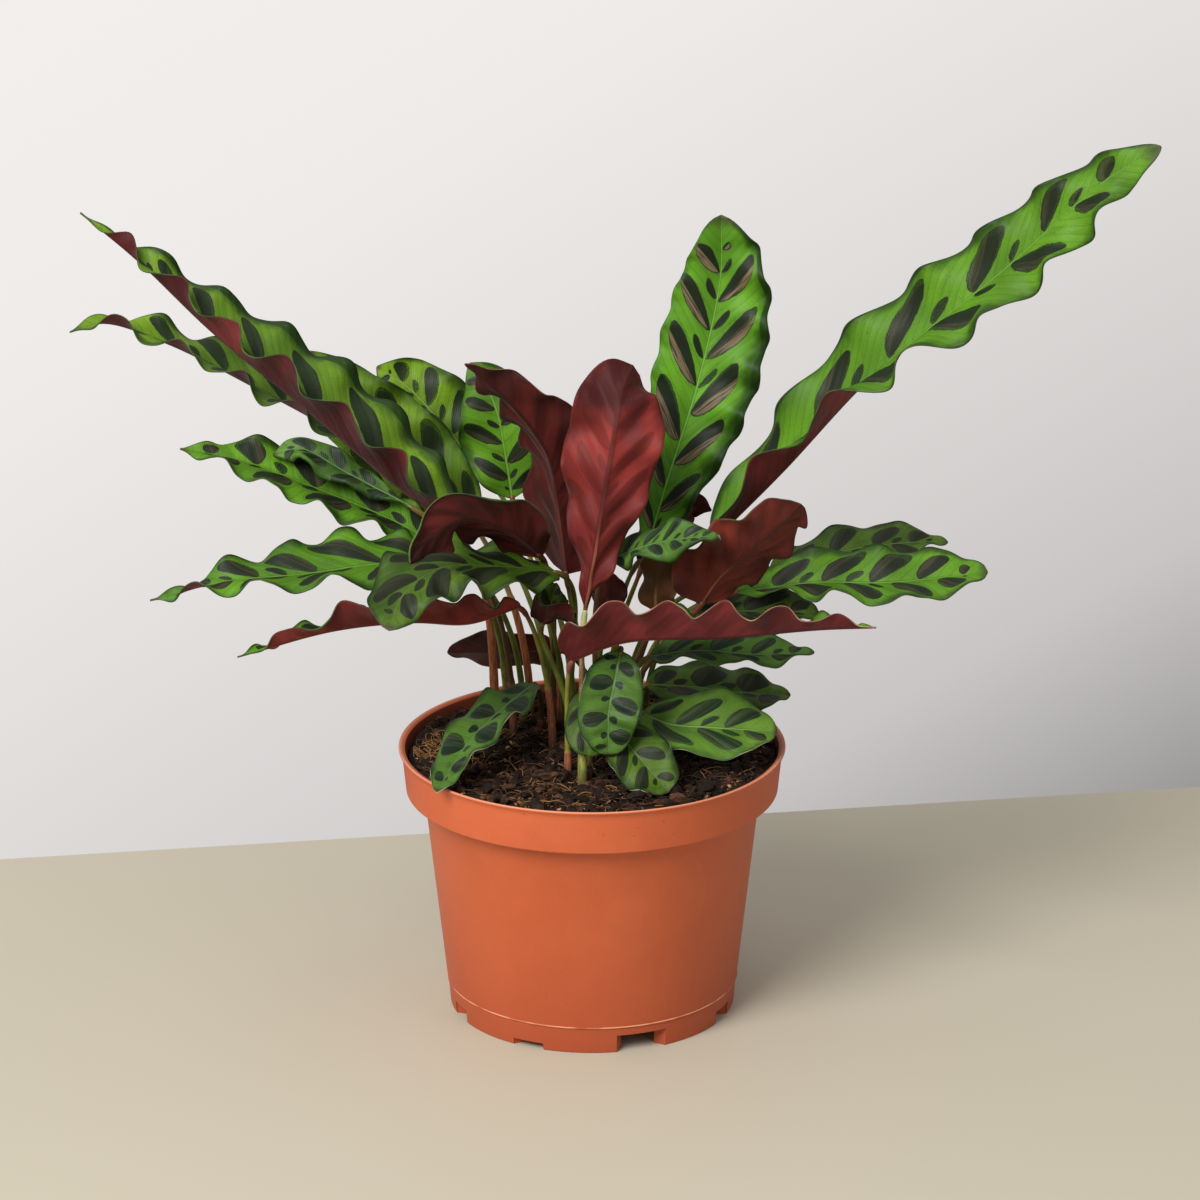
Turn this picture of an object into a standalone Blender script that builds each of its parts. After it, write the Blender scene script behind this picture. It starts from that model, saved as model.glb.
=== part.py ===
"""A rattlesnake plant in a moulded nursery pot: pot, soil, and a stem and a wavy leaf blade for each shoot.

Units are metres, +Z is up, and the origin is on the pot's axis at the surface that the pot stands on.
Lengths are written in millimetres times MM. Each leaf is drawn from a few points along its midrib, its half
width, the way its upper side faces and how far its halves fold up; its stem rises from a point in the soil.
"""
import math

import bmesh
import bpy
import numpy as np

MM = 0.001
GAP = 0.3 * MM                  # clearance between pieces that touch

# Pot
POT_HEIGHT = 117 * MM
LIP_RADIUS = 82.5 * MM          # the rolled lip, the pot's widest ring
BAND_RADIUS = 81 * MM           # rim band just under the lip
BAND_FOOT_RADIUS = 79.5 * MM
BODY_TOP_RADIUS = 72 * MM
LEDGE_Z = 97.4 * MM             # underside of the rim band, where it steps in to the wall
EDGE_ROUND = 0.8 * MM           # bevel of the band's lower edge
SEAM_RADIUS = 62.7 * MM         # where the wall meets the foot skirt
SEAM_Z = 12 * MM
FOOT_RADIUS = 61.4 * MM
WALL = 1.5 * MM
FOOT_WALL = 1.8 * MM
LIP_HEIGHT = 3 * MM
LIP_ROUND = 0.6 * MM
SEAM_STEP = 0.5 * MM            # how far the foot skirt stands back under the seam
FLOOR_TOP_Z = 13.4 * MM
POT_STEPS = 56
NOTCHES = (                     # direction in degrees, width and height of each notch in the foot skirt
    (-156, 12 * MM, 6 * MM), (-116, 14 * MM, 3 * MM), (-70, 22 * MM, 8 * MM), (-25, 12 * MM, 6 * MM),
    (24, 12 * MM, 6 * MM), (64, 14 * MM, 3 * MM), (110, 22 * MM, 8 * MM), (155, 12 * MM, 6 * MM),
)
DRAIN_RADIUS = 4.5 * MM
DRAIN_CIRCLE = 40 * MM
DRAIN_COUNT = 6
CUTTER_DEPTH = 8 * MM

# Soil
SOIL_TOP_Z = 111 * MM
SOIL_EDGE_Z = 107 * MM
SOIL_FLAT_RADIUS = 66 * MM
POCKET_DEPTH = 8 * MM           # the stems stand this deep in the soil
POCKET_SIDES = 8

# Leaves and stems
LEAF_THICKNESS = 0.7 * MM
NECK_HALF_WIDTH = 1.0 * MM      # blade where it meets its stem
TIP_HALF_WIDTH = 0.5 * MM
WAVE_PITCH = 25                 # distance in mm from one margin wave to the next
ROWS_PER_WAVE = 4
BLADE_COLUMNS = 5
STEM_POINTS = 9
CURVE_STEPS = 24                # steps between two given points of a curve, before it is evenly divided
STEM_TIP_RADIUS = 0.9 * MM

# Each shoot: the points along its midrib from neck to tip in mm, half width in mm, the direction that the
# upper side faces, the angle in degrees that each half folds up, and where its stem leaves the soil in mm.
# Optional: peak is how far along the blade is widest, taper how sharply it closes, wave the height of the
# margin's waves in mm, pitch the distance from one to the next in mm, phase where they start in degrees,
# quicken how much closer they stand towards the tip, calm the share of their height that the left half lacks,
# skew how much wider the left half is, tip_faces and tip_fold are the blade's direction and fold at its tip,
# stem is the stem's radius in the soil in mm, rise how straight it leaves the soil and lead how long it runs
# in line with the midrib, as shares of its length.
SHOOTS = {
    "left_top": dict(
        midrib=[(-59, 16, 208), (-82, 21, 224), (-120, 30, 255), (-161, 44, 286), (-193, 54, 315), (-217, 60, 334)],
        half_width=27, faces=(0.5, 0, 1), fold=40, root=(-42, 28), wave=4.5, peak=0.3, taper=1.2, pitch=31,
        skew=-0.12, stem=1.9),
    "left_second": dict(
        midrib=[(-68, 45, 218), (-107, 50, 239), (-144, 59, 257), (-181, 64, 275), (-209, 66, 284), (-224, 66, 280)],
        half_width=19, faces=(0.2, -0.05, 1), fold=20, root=(-27, 50), peak=0.4, pitch=29),
    "left_third": dict(
        midrib=[(-63, 0, 204), (-82, 4, 214), (-118, 10, 228), (-148, 12, 239), (-173, 12, 244)],
        half_width=18, faces=(0.2, -0.35, 0.9), fold=16, root=(-30, 42), peak=0.45, taper=0.95, wave=3),
    "left_back": dict(
        midrib=[(-49, 58, 199), (-75, 69, 219), (-101, 77, 242), (-123, 83, 267)],
        half_width=21, faces=(0.2, -0.95, 0.25), fold=12, root=(-18, 51)),
    "left_small": dict(
        midrib=[(-76, 4, 221), (-104, 9, 235), (-122, 12, 244), (-134, 14, 241)],
        half_width=8, faces=(0.1, -0.6, 0.8), fold=15, root=(-37, 45), peak=0.6, wave=2),
    "left_low": dict(
        midrib=[(-57, -10, 200), (-86, -27, 206), (-119, -38, 205), (-152, -42, 203), (-182, -42, 195)],
        half_width=20, faces=(0.1, -0.2, 0.95), fold=15, root=(-34, 25), peak=0.35, taper=1.3),
    "left_folded": dict(
        midrib=[(-30, -12, 182), (-51, -28, 180), (-74, -44, 186), (-105, -60, 188), (-143, -84, 185)],
        half_width=17, faces=(0, 0.5, 0.87), fold=30, root=(-17, 11), peak=0.35, taper=1.1, lead=0.08),
    "left_shaded": dict(
        midrib=[(-15, -17, 199), (-38, -31, 206), (-62, -45, 210), (-77, -63, 204), (-82, -77, 194)],
        half_width=22, faces=(0, -0.25, 1), fold=2, root=(-10, 24), taper=0.6),
    "back_left": dict(
        midrib=[(-49, 80, 215), (-66, 86, 234), (-81, 91, 249), (-94, 94, 257)],
        half_width=19, faces=(0.2, -0.95, 0.25), fold=8, root=(-9, 64)),
    "centre_front": dict(
        midrib=[(-3, -20, 182), (1, -24, 207), (5, -24, 234), (9, -20, 257), (13, -12, 279), (17, -4, 285)],
        half_width=20.5, faces=(0.1, 1, 0.2), fold=26, root=(-4, -36), tip_fold=8, peak=0.68, taper=0.55,
        stem=1.8),
    "centre_bent": dict(
        midrib=[(-11, 8, 190), (-15, 5, 224), (-18, -2, 244), (-31, -11, 267), (-46, -18, 284), (-52, -20, 290)],
        half_width=24, faces=(0.5, 0.85, 0.15), fold=30, root=(-3, 33), peak=0.3, wave=3),
    "centre_green": dict(
        midrib=[(-34, 30, 217), (-37, 31, 237), (-40, 33, 253), (-45, 37, 265), (-52, 42, 273)],
        half_width=18, faces=(-0.1, -1, 0.3), fold=12, root=(-14, 45)),
    "front_curled": dict(
        midrib=[(-22, -15, 206), (-36, -37, 224), (-52, -49, 232), (-66, -57, 226), (-74, -61, 217)],
        half_width=18, faces=(0.1, 0.85, 0.5), fold=12, root=(-17, 33), wave=3),
    "tall_upright": dict(
        midrib=[(22, 14, 194), (31, 22, 224), (45, 32, 268), (54, 36, 312), (54, 32, 340)],
        half_width=23, faces=(-0.1, -1, 0.3), fold=12, root=(6, 39), peak=0.6, taper=0.6, pitch=20, calm=0.8,
        skew=-0.12),
    "right_top": dict(
        midrib=[(52, 6, 206), (80, 2, 237), (117, -10, 283), (166, -26, 330), (204, -42, 371), (226, -51, 388)],
        half_width=22, faces=(-0.5, -0.1, 0.85), fold=50, root=(16, 27), tip_faces=(-0.3, -0.9, 0.5),
        tip_fold=5, peak=0.4, taper=0.6, pitch=37, wave=5.5, phase=-16, quicken=0.38, stem=1.8),
    "right_maroon": dict(
        midrib=[(46, -8, 182), (53, -14, 195), (63, -20, 207), (78, -28, 224), (86, -30, 233)],
        half_width=21, faces=(-0.3, 0.85, 0.4), fold=12, root=(10, -2), peak=0.38, taper=0.5, wave=3),
    "centre_short": dict(
        midrib=[(9, -8, 202), (22, -19, 211), (36, -31, 218), (52, -42, 223)],
        half_width=11, faces=(0, -0.6, 0.8), fold=12, root=(2, 12), wave=3),
    "right_bronze": dict(
        midrib=[(27, 4, 174), (27, 2, 185), (30, 2, 196), (36, 4, 204)],
        half_width=10, faces=(0.5, 0.8, 0.2), fold=12, root=(10, 17)),
    "right_middle": dict(
        midrib=[(61, 4, 183), (94, 2, 188), (124, -4, 190), (166, -8, 196)],
        half_width=17, faces=(0, -0.42, 0.9), fold=30, root=(18, 22), rise=0.6, tip_fold=10, peak=0.55, taper=0.5,
        wave=3),
    "right_back": dict(
        midrib=[(76, 22, 187), (114, 28, 195), (140, 30, 197), (152, 30, 197)],
        half_width=12, faces=(0, -0.4, 0.85), fold=12, root=(15, 49), rise=0.6, taper=0.6, wave=3),
    "right_shaded": dict(
        midrib=[(42, 14, 168), (58, 8, 173), (78, 6, 174), (96, 4, 174)],
        half_width=14, faces=(0, -0.6, 0.8), fold=12, root=(23, 37), taper=0.6, wave=3),
    "front_folded": dict(
        midrib=[(-9, -36, 166), (14, -46, 178), (52, -64, 186), (92, -82, 196), (114, -94, 201)],
        half_width=22, faces=(0, 0.4, 0.9), fold=34, root=(-10, -26), peak=0.25, taper=0.9, phase=130,
        lead=0.08),
    "right_low": dict(
        midrib=[(24, -18, 162), (45, -22, 166), (70, -24, 165), (93, -24, 166)],
        half_width=13, faces=(0, -0.2, 0.97), fold=12, root=(15, -10), taper=0.6, wave=2),
    "right_rim": dict(
        midrib=[(23, 9, 140), (44, 11, 138), (63, 13, 135), (85, 15, 133)],
        half_width=14, faces=(0.1, -0.4, 0.9), fold=10, root=(17, 8), taper=0.6, wave=2),
    "right_broad": dict(
        midrib=[(21, -10, 134), (33, -16, 131), (50, -20, 131), (78, -22, 130)],
        half_width=19, faces=(0.1, -0.5, 0.86), fold=10, root=(16, -19), peak=0.5, taper=0.6, wave=2),
    "front_hanging": dict(
        midrib=[(12, -28, 168), (9, -36, 155), (7, -40, 145), (7, -42, 127)],
        half_width=13.5, faces=(0, -1, 0.3), fold=12, root=(4, -6), peak=0.5, taper=0.5, wave=2),
    "front_drooping": dict(
        midrib=[(10, -30, 134), (22, -42, 123), (32, -54, 115)],
        half_width=13, faces=(-0.2, -0.6, 0.75), fold=12, root=(7, -16), peak=0.5, taper=0.5, wave=2),
    "left_hanging": dict(
        midrib=[(-25, 12, 139), (-37, -8, 136), (-49, -28, 131), (-58, -46, 124), (-64, -62, 118)],
        half_width=12, faces=(-0.3, -0.5, 0.8), fold=12, root=(-22, 30), peak=0.42, taper=0.6, wave=2.5),
    "back_oval": dict(
        midrib=[(-13, 62, 137), (-36, 68, 134), (-54, 74, 132), (-64, 76, 131)],
        half_width=11, faces=(0, 0.9, 0.35), fold=12, root=(1, 62), wave=1.5, peak=0.5, taper=0.6),
}


def clear_scene():
    for old in list(bpy.data.objects):
        bpy.data.objects.remove(old, do_unlink=True)


def new_collection(name):
    collection = bpy.data.collections.new(name)
    bpy.context.scene.collection.children.link(collection)
    return collection


def new_material(name, colour, roughness):
    material = bpy.data.materials.new(name)
    material.use_nodes = True
    shader = material.node_tree.nodes["Principled BSDF"]
    shader.inputs["Base Color"].default_value = (*colour, 1.0)
    shader.inputs["Roughness"].default_value = roughness
    shader.inputs["Metallic"].default_value = 0.0
    return material


def add_object(name, data, collection, material=None):
    piece = bpy.data.objects.new(name, data)
    collection.objects.link(piece)
    if material is not None:
        piece.data.materials.append(material)
    return piece


def mesh_from(bm, name):
    mesh = bpy.data.meshes.new(name)
    bm.to_mesh(mesh)
    bm.free()
    return mesh


def make_cutter(name, bm, collection):
    cutter = add_object(name, mesh_from(bm, name), collection)
    cutter.hide_render = True
    cutter.display_type = "WIRE"
    return cutter


def cut(piece, cutter):
    boolean = piece.modifiers.new("cut " + cutter.name, "BOOLEAN")
    boolean.operation = "DIFFERENCE"
    boolean.object = cutter


# ---------------------------------------------------------------- pot and soil

def turned(name, outline, collection, material):
    """A solid turned about Z from (radius, z) points that run from axis to axis, up inside, down outside."""
    bm = bmesh.new()
    points = [bm.verts.new((radius, 0, z)) for radius, z in outline]
    for first, second in zip(points, points[1:]):
        bm.edges.new((first, second))
    piece = add_object(name, mesh_from(bm, name), collection, material)
    screw = piece.modifiers.new("turn", "SCREW")
    screw.steps = POT_STEPS
    screw.render_steps = POT_STEPS
    screw.use_merge_vertices = True
    screw.merge_threshold = 0.00001
    return piece


def wall_radius(z):
    """Outer radius of the tapered wall at height z."""
    share = (z - SEAM_Z) / (LEDGE_Z - SEAM_Z)
    return SEAM_RADIUS + share * (BODY_TOP_RADIUS - SEAM_RADIUS)


def pot_outline():
    lip_bottom = POT_HEIGHT - LIP_HEIGHT
    floor_z = FLOOR_TOP_Z - WALL
    inside = [
        (0, FLOOR_TOP_Z),
        (wall_radius(FLOOR_TOP_Z) - WALL, FLOOR_TOP_Z),
        (BODY_TOP_RADIUS - WALL, LEDGE_Z + WALL),
        (BAND_FOOT_RADIUS - WALL, LEDGE_Z + WALL),
        (BAND_RADIUS - WALL, POT_HEIGHT - LIP_ROUND),
    ]
    lip = [
        (BAND_RADIUS - LIP_ROUND, POT_HEIGHT),
        (LIP_RADIUS - LIP_ROUND, POT_HEIGHT),
        (LIP_RADIUS, POT_HEIGHT - LIP_ROUND),
        (LIP_RADIUS, lip_bottom + LIP_ROUND),
        (BAND_RADIUS, lip_bottom),
    ]
    outside = [
        (BAND_FOOT_RADIUS, LEDGE_Z + EDGE_ROUND),
        (BAND_FOOT_RADIUS - EDGE_ROUND, LEDGE_Z),
        (BODY_TOP_RADIUS, LEDGE_Z),
        (SEAM_RADIUS, SEAM_Z),
        (SEAM_RADIUS - SEAM_STEP, SEAM_Z - SEAM_STEP),
        (FOOT_RADIUS, 0),
        (FOOT_RADIUS - FOOT_WALL, 0),
        (SEAM_RADIUS - SEAM_STEP - FOOT_WALL, floor_z),
        (0, floor_z),
    ]
    return inside + lip + outside


def build_pot(parts, cutters, material):
    pot = turned("pot", pot_outline(), parts, material)
    for number, (degrees, width, height) in enumerate(NOTCHES, 1):
        bm = bmesh.new()
        bmesh.ops.create_cube(bm, size=1)
        bmesh.ops.scale(bm, vec=(CUTTER_DEPTH, width, 2 * height), verts=bm.verts)
        notch = make_cutter(f"notch_{number}", bm, cutters)
        angle = math.radians(degrees)
        notch.location = (FOOT_RADIUS * math.cos(angle), FOOT_RADIUS * math.sin(angle), 0)
        notch.rotation_euler = (0, 0, angle)
        cut(pot, notch)
    for number in range(DRAIN_COUNT):
        angle = 2 * math.pi * number / DRAIN_COUNT
        bm = bmesh.new()
        bmesh.ops.create_cone(bm, cap_ends=True, segments=12, radius1=DRAIN_RADIUS,
                              radius2=DRAIN_RADIUS, depth=CUTTER_DEPTH)
        hole = make_cutter(f"drain_{number + 1}", bm, cutters)
        hole.location = (DRAIN_CIRCLE * math.cos(angle), DRAIN_CIRCLE * math.sin(angle), FLOOR_TOP_Z)
        cut(pot, hole)
    return pot


def build_soil(parts, cutters, material):
    bottom = FLOOR_TOP_Z + GAP
    side = WALL + 1.7 * GAP
    outline = [
        (0, SOIL_TOP_Z),
        (SOIL_FLAT_RADIUS, SOIL_TOP_Z),
        (BAND_FOOT_RADIUS - side, SOIL_EDGE_Z),
        (BAND_FOOT_RADIUS - side, LEDGE_Z + side),
        (BODY_TOP_RADIUS - side, LEDGE_Z + side),
        (wall_radius(bottom) - side, bottom),
        (0, bottom),
    ]
    soil = turned("soil", outline, parts, material)
    for name, shoot in SHOOTS.items():
        corner_radius = (stem_radius(shoot) + GAP) / math.cos(math.pi / POCKET_SIDES)
        bm = bmesh.new()
        bmesh.ops.create_cone(bm, cap_ends=True, segments=POCKET_SIDES, radius1=corner_radius,
                              radius2=corner_radius, depth=2 * POCKET_DEPTH)
        pocket = make_cutter("pocket_" + name, bm, cutters)
        pocket.location = (shoot["root"][0] * MM, shoot["root"][1] * MM, SOIL_TOP_Z)
        cut(soil, pocket)
    return soil


# ---------------------------------------------------------------- leaves and stems

def unit(vector):
    vector = np.asarray(vector, float)
    return vector / np.linalg.norm(vector)


def smooth(x):
    x = np.clip(x, 0, 1)
    return x * x * (3 - 2 * x)


def through(points, count):
    """Points spaced evenly along a smooth curve (centripetal Catmull-Rom) through the given ones."""
    knots = np.array(points, float)
    knots = np.vstack([2 * knots[0] - knots[1], knots, 2 * knots[-1] - knots[-2]])
    dense = []
    for p0, p1, p2, p3 in zip(knots, knots[1:], knots[2:], knots[3:]):
        t1 = math.sqrt(np.linalg.norm(p1 - p0))
        t2 = t1 + math.sqrt(np.linalg.norm(p2 - p1))
        t3 = t2 + math.sqrt(np.linalg.norm(p3 - p2))
        for t in np.linspace(t1, t2, CURVE_STEPS, endpoint=False):
            a1 = (t1 - t) / t1 * p0 + t / t1 * p1
            a2 = ((t2 - t) * p1 + (t - t1) * p2) / (t2 - t1)
            a3 = ((t3 - t) * p2 + (t - t2) * p3) / (t3 - t2)
            b1 = ((t2 - t) * a1 + t * a2) / t2
            b2 = ((t3 - t) * a2 + (t - t1) * a3) / (t3 - t1)
            dense.append(((t2 - t) * b1 + (t - t1) * b2) / (t2 - t1))
    dense = np.array(dense + [knots[-2]])
    lengths = np.linalg.norm(np.diff(dense, axis=0), axis=1)
    along = np.concatenate([[0], np.cumsum(lengths)])
    even = np.linspace(0, along[-1], count)
    return np.column_stack([np.interp(even, along, dense[:, axis]) for axis in range(3)]), along[-1]


def blade_half_width(s, shoot):
    """Half width of the blade at share s of its length, largest at the peak."""
    peak = shoot.get("peak", 0.45)
    tip_power = shoot.get("taper", 0.8)
    neck_power = tip_power * peak / (1 - peak)
    largest = peak ** neck_power * (1 - peak) ** tip_power
    shape = s ** neck_power * (1 - s) ** tip_power / largest
    ends = NECK_HALF_WIDTH * (1 - s) + TIP_HALF_WIDTH * s
    return np.maximum(shoot["half_width"] * MM * shape, ends)


def blade_length(shoot):
    return through(shoot["midrib"], 2)[1] * MM


def wave_count(shoot, length):
    return max(2, round(length / (shoot.get("pitch", WAVE_PITCH) * MM)))


def blade_points(shoot, rows, columns):
    """Points of the blade's middle surface, rows from neck to tip and columns from right margin to left."""
    midrib, length = through(shoot["midrib"], rows)
    midrib *= MM
    length *= MM
    s = np.linspace(0, 1, rows)
    along = np.gradient(midrib, axis=0)
    along /= np.linalg.norm(along, axis=1)[:, None]
    turn = smooth(s)[:, None]
    faces = unit(shoot["faces"]) * (1 - turn) + unit(shoot.get("tip_faces", shoot["faces"])) * turn
    up = faces - (faces * along).sum(axis=1)[:, None] * along
    up /= np.linalg.norm(up, axis=1)[:, None]
    left = np.cross(up, along)
    fold = np.radians(shoot["fold"] * (1 - smooth(s)) + shoot.get("tip_fold", shoot["fold"]) * smooth(s))
    waves = wave_count(shoot, length)
    height = shoot.get("wave", 4) * MM * smooth(s / 0.15) * smooth((1 - s) / 0.12)
    half_width = blade_half_width(s, shoot)
    beat = 2 * math.pi * waves * (s - shoot.get("quicken", 0) * s * (1 - s))
    points = np.zeros((rows, columns, 3))
    for column, across in enumerate(np.linspace(-1, 1, columns)):
        side = 1 if across > 0 else -1
        share = abs(across)
        start = math.radians(shoot.get("phase", 0)) + (0 if side > 0 else math.pi)
        strength = 1 - shoot.get("calm", 0) if side > 0 else 1
        wave = strength * height * share ** 2 * np.sin(beat + start)
        out = half_width * share * (1 + side * shoot.get("skew", 0))
        sideways = out * np.cos(fold) - wave * np.sin(fold)
        upwards = out * np.sin(fold) + wave * np.cos(fold)
        points[:, column] = midrib + side * sideways[:, None] * left + upwards[:, None] * up
    return points


def build_leaf(name, shoot, parts, material):
    rows = ROWS_PER_WAVE * wave_count(shoot, blade_length(shoot)) + 1
    columns = BLADE_COLUMNS
    points = blade_points(shoot, rows, columns)
    bm = bmesh.new()
    bmesh.ops.create_grid(bm, x_segments=rows - 1, y_segments=columns - 1, size=0.5)
    for vert in bm.verts:
        row = round((vert.co.x + 0.5) * (rows - 1))
        column = round((vert.co.y + 0.5) * (columns - 1))
        vert.co = points[row, column]
    leaf = add_object("leaf_" + name, mesh_from(bm, name), parts, material)
    solid = leaf.modifiers.new("thickness", "SOLIDIFY")
    solid.thickness = LEAF_THICKNESS
    solid.offset = 0
    return leaf


def stem_radius(shoot):
    return shoot.get("stem", 1.5) * MM


def stem_route(shoot):
    """A curve that leaves the soil upright and reaches the neck in line with the midrib."""
    root = np.array([*shoot["root"], (SOIL_TOP_Z - POCKET_DEPTH + GAP) / MM])
    surface = np.array([*shoot["root"], SOIL_TOP_Z / MM + 1])
    neck = np.array(shoot["midrib"][0], float)
    heading = unit(through(shoot["midrib"], 20)[0][1] - neck)
    neck = neck - heading * (GAP / MM + 0.2)
    reach = np.linalg.norm(neck - surface)
    rise = shoot.get("rise", 0.45) * reach
    lead = shoot.get("lead", 0.2) * reach
    handles = [surface, surface + np.array([0, 0, rise]), neck - heading * lead, neck]
    t = np.linspace(0, 1, STEM_POINTS - 1)[:, None]
    curve = ((1 - t) ** 3 * handles[0] + 3 * (1 - t) ** 2 * t * handles[1]
             + 3 * (1 - t) * t ** 2 * handles[2] + t ** 3 * handles[3])
    return np.vstack([root, curve]) * MM


def build_stem(name, shoot, parts, material):
    route = stem_route(shoot)
    curve = bpy.data.curves.new("stem_" + name, "CURVE")
    curve.dimensions = "3D"
    curve.bevel_depth = stem_radius(shoot)
    curve.bevel_resolution = 2
    curve.use_fill_caps = True
    spline = curve.splines.new("POLY")
    spline.points.add(len(route) - 1)
    tip_share = STEM_TIP_RADIUS / stem_radius(shoot)
    for number, (point, place) in enumerate(zip(spline.points, route)):
        point.co = (*place, 1)
        point.radius = 1 + (tip_share - 1) * number / (len(route) - 1)
    return add_object("stem_" + name, curve, parts, material)


def main():
    clear_scene()
    parts = new_collection("potted_rattlesnake_plant")
    cutters = new_collection("cutters")
    terracotta = new_material("terracotta_plastic", (0.60, 0.13, 0.05), 0.5)
    peat = new_material("peat", (0.035, 0.02, 0.013), 0.95)
    leaf_green = new_material("leaf_green", (0.07, 0.30, 0.04), 0.35)
    stem_green = new_material("stem_green", (0.20, 0.22, 0.06), 0.45)
    build_pot(parts, cutters, terracotta)
    build_soil(parts, cutters, peat)
    for name, shoot in SHOOTS.items():
        build_stem(name, shoot, parts, stem_green)
        build_leaf(name, shoot, parts, leaf_green)


main()
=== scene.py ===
# %% [markdown]
# # A rattlesnake plant in a nursery pot
#
# The solids of the pot, soil, stems and leaves are already settled: this lesson loads them as a fixed frame
# and then gives each one the surface that the living plant shows. The new piece stands where the plain solid
# stands, rides on the same body, and hides it. Small things that have no solid, such as crumbs and fibres, are
# added beside them.

# %% Load the frame
import math
import random
from types import SimpleNamespace

import bmesh
import bpy
import numpy as np
from mathutils import Matrix, Vector, noise


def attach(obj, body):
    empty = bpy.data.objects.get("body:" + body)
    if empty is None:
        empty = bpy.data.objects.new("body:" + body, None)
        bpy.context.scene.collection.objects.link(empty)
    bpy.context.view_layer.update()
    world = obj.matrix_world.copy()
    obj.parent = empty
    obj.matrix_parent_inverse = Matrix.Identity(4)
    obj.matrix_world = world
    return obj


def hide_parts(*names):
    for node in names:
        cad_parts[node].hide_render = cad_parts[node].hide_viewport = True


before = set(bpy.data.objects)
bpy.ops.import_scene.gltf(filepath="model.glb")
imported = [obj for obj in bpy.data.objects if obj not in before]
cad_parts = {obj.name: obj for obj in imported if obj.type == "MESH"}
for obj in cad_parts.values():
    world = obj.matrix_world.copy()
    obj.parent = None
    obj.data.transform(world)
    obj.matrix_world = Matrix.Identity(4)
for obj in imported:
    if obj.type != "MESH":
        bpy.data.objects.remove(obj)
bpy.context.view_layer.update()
MM = 0.001
collection = bpy.data.collections.new("potted_rattlesnake_plant")
bpy.context.scene.collection.children.link(collection)


def add_object(name, data):
    item = bpy.data.objects.new(name, data)
    collection.objects.link(item)
    return item


# %% [markdown]
# ## Camera
#
# A long lens from nearly two metres away keeps the leaves in front from looking too large. It looks down
# by about nineteen degrees, as a person does who stands in front of a table. The view transform is the
# plain one, so that a leaf's colour comes out as it is typed in.

# %% Camera
CAMERA_PLACE = (3.4 * MM, -1.7999, 0.7869)
CAMERA_TILT = 18.6

camera_data = bpy.data.cameras.new("camera")
camera_data.lens = 135
camera_data.sensor_width = 36
camera = add_object("camera", camera_data)
camera.location = CAMERA_PLACE
camera.rotation_euler = (math.radians(90 - CAMERA_TILT), 0, 0)
bpy.context.scene.camera = camera
bpy.context.scene.view_settings.view_transform = "Standard"
print("camera looks down by", CAMERA_TILT, "degrees")

# %% [markdown]
# ## Fields
#
# A shader written as nodes is easier to read when a sum looks like a sum. A `Field` wraps an output socket,
# and each `+ - * / **` on it makes one Math node in the tree that the socket belongs to. `feed` either links
# a field to a socket or sets the socket's own number.

# %% Fields
class Field:
    """A value that varies over a surface."""
    __add__ = lambda a, b: calc("ADD", a, b)
    __sub__ = lambda a, b: calc("SUBTRACT", a, b)
    __rsub__ = lambda a, b: calc("SUBTRACT", b, a)
    __mul__ = lambda a, b: calc("MULTIPLY", a, b)
    __truediv__ = lambda a, b: calc("DIVIDE", a, b)
    __pow__ = lambda a, b: calc("POWER", a, b)
    __abs__ = lambda a: calc("ABSOLUTE", a)

    def __init__(self, socket):
        self.socket = socket


def feed(socket, value):
    if isinstance(value, Field):
        socket.id_data.links.new(value.socket, socket)
    else:
        socket.default_value = (*value, 1) if socket.type == "RGBA" else value


def add_node(kind, wires, out=0, tree=None, **settings):
    """A node with its settings, and its inputs fed by name or number; gives one of its outputs."""
    if tree is None:
        tree = next(value.socket.id_data for value in wires.values() if isinstance(value, Field))
    node = tree.nodes.new("ShaderNode" + kind)
    for name, setting in settings.items():
        setattr(node, name, setting)
    for label, value in wires.items():
        feed(node.inputs[label], value)
    return Field(node.outputs[out])


def calc(operation, *values):
    return add_node("Math", dict(enumerate(values)), operation=operation)


print("fields ready")

# %% [markdown]
# ## Masks, colours and relief
#
# These helpers know nothing of leaves or pots. `ease` turns a field into a mask with soft ends, and
# `painted` lays coats of colour over a base, each through its own mask, as a painter would.

# %% Node helpers
def ease(value, start, end, kind="SMOOTHSTEP"):
    """0 before start and 1 after end, smooth between them; start may be the larger number."""
    wires = {"Value": value, "From Min": start, "From Max": end}
    return add_node("MapRange", wires, "Result", interpolation_type=kind)


def blend(share, first, second):
    return add_node("Mix", {0: share, 6: first, 7: second}, 2, data_type="RGBA")


def painted(base, *coats):
    """A base colour under coats, each a mask and a colour."""
    for mask, colour in coats:
        base = blend(mask, base, colour)
    return base


def cloud(place, scale, detail=2, rough=0.5):
    wires = {"Vector": place, "Scale": scale, "Detail": detail, "Roughness": rough}
    return add_node("TexNoise", wires, "Fac")


def attribute(tree, name):
    return add_node("Attribute", {}, "Fac", tree, attribute_name=name)


def here(tree, space="Object"):
    return add_node("TexCoord", {}, space, tree)


def triple(*values):
    return add_node("CombineXYZ", dict(enumerate(values)))


def split(value, kind="XYZ"):
    """The three parts of a vector or a colour."""
    return [Field(part) for part in add_node("Separate" + kind, {0: value}).socket.node.outputs]


def bump(height, distance, strength=1.0, under=None):
    wires = {"Strength": strength, "Distance": distance, "Height": height}
    return add_node("Bump", wires if under is None else {**wires, "Normal": under}, "Normal")


print("masks, colours and relief ready")

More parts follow.
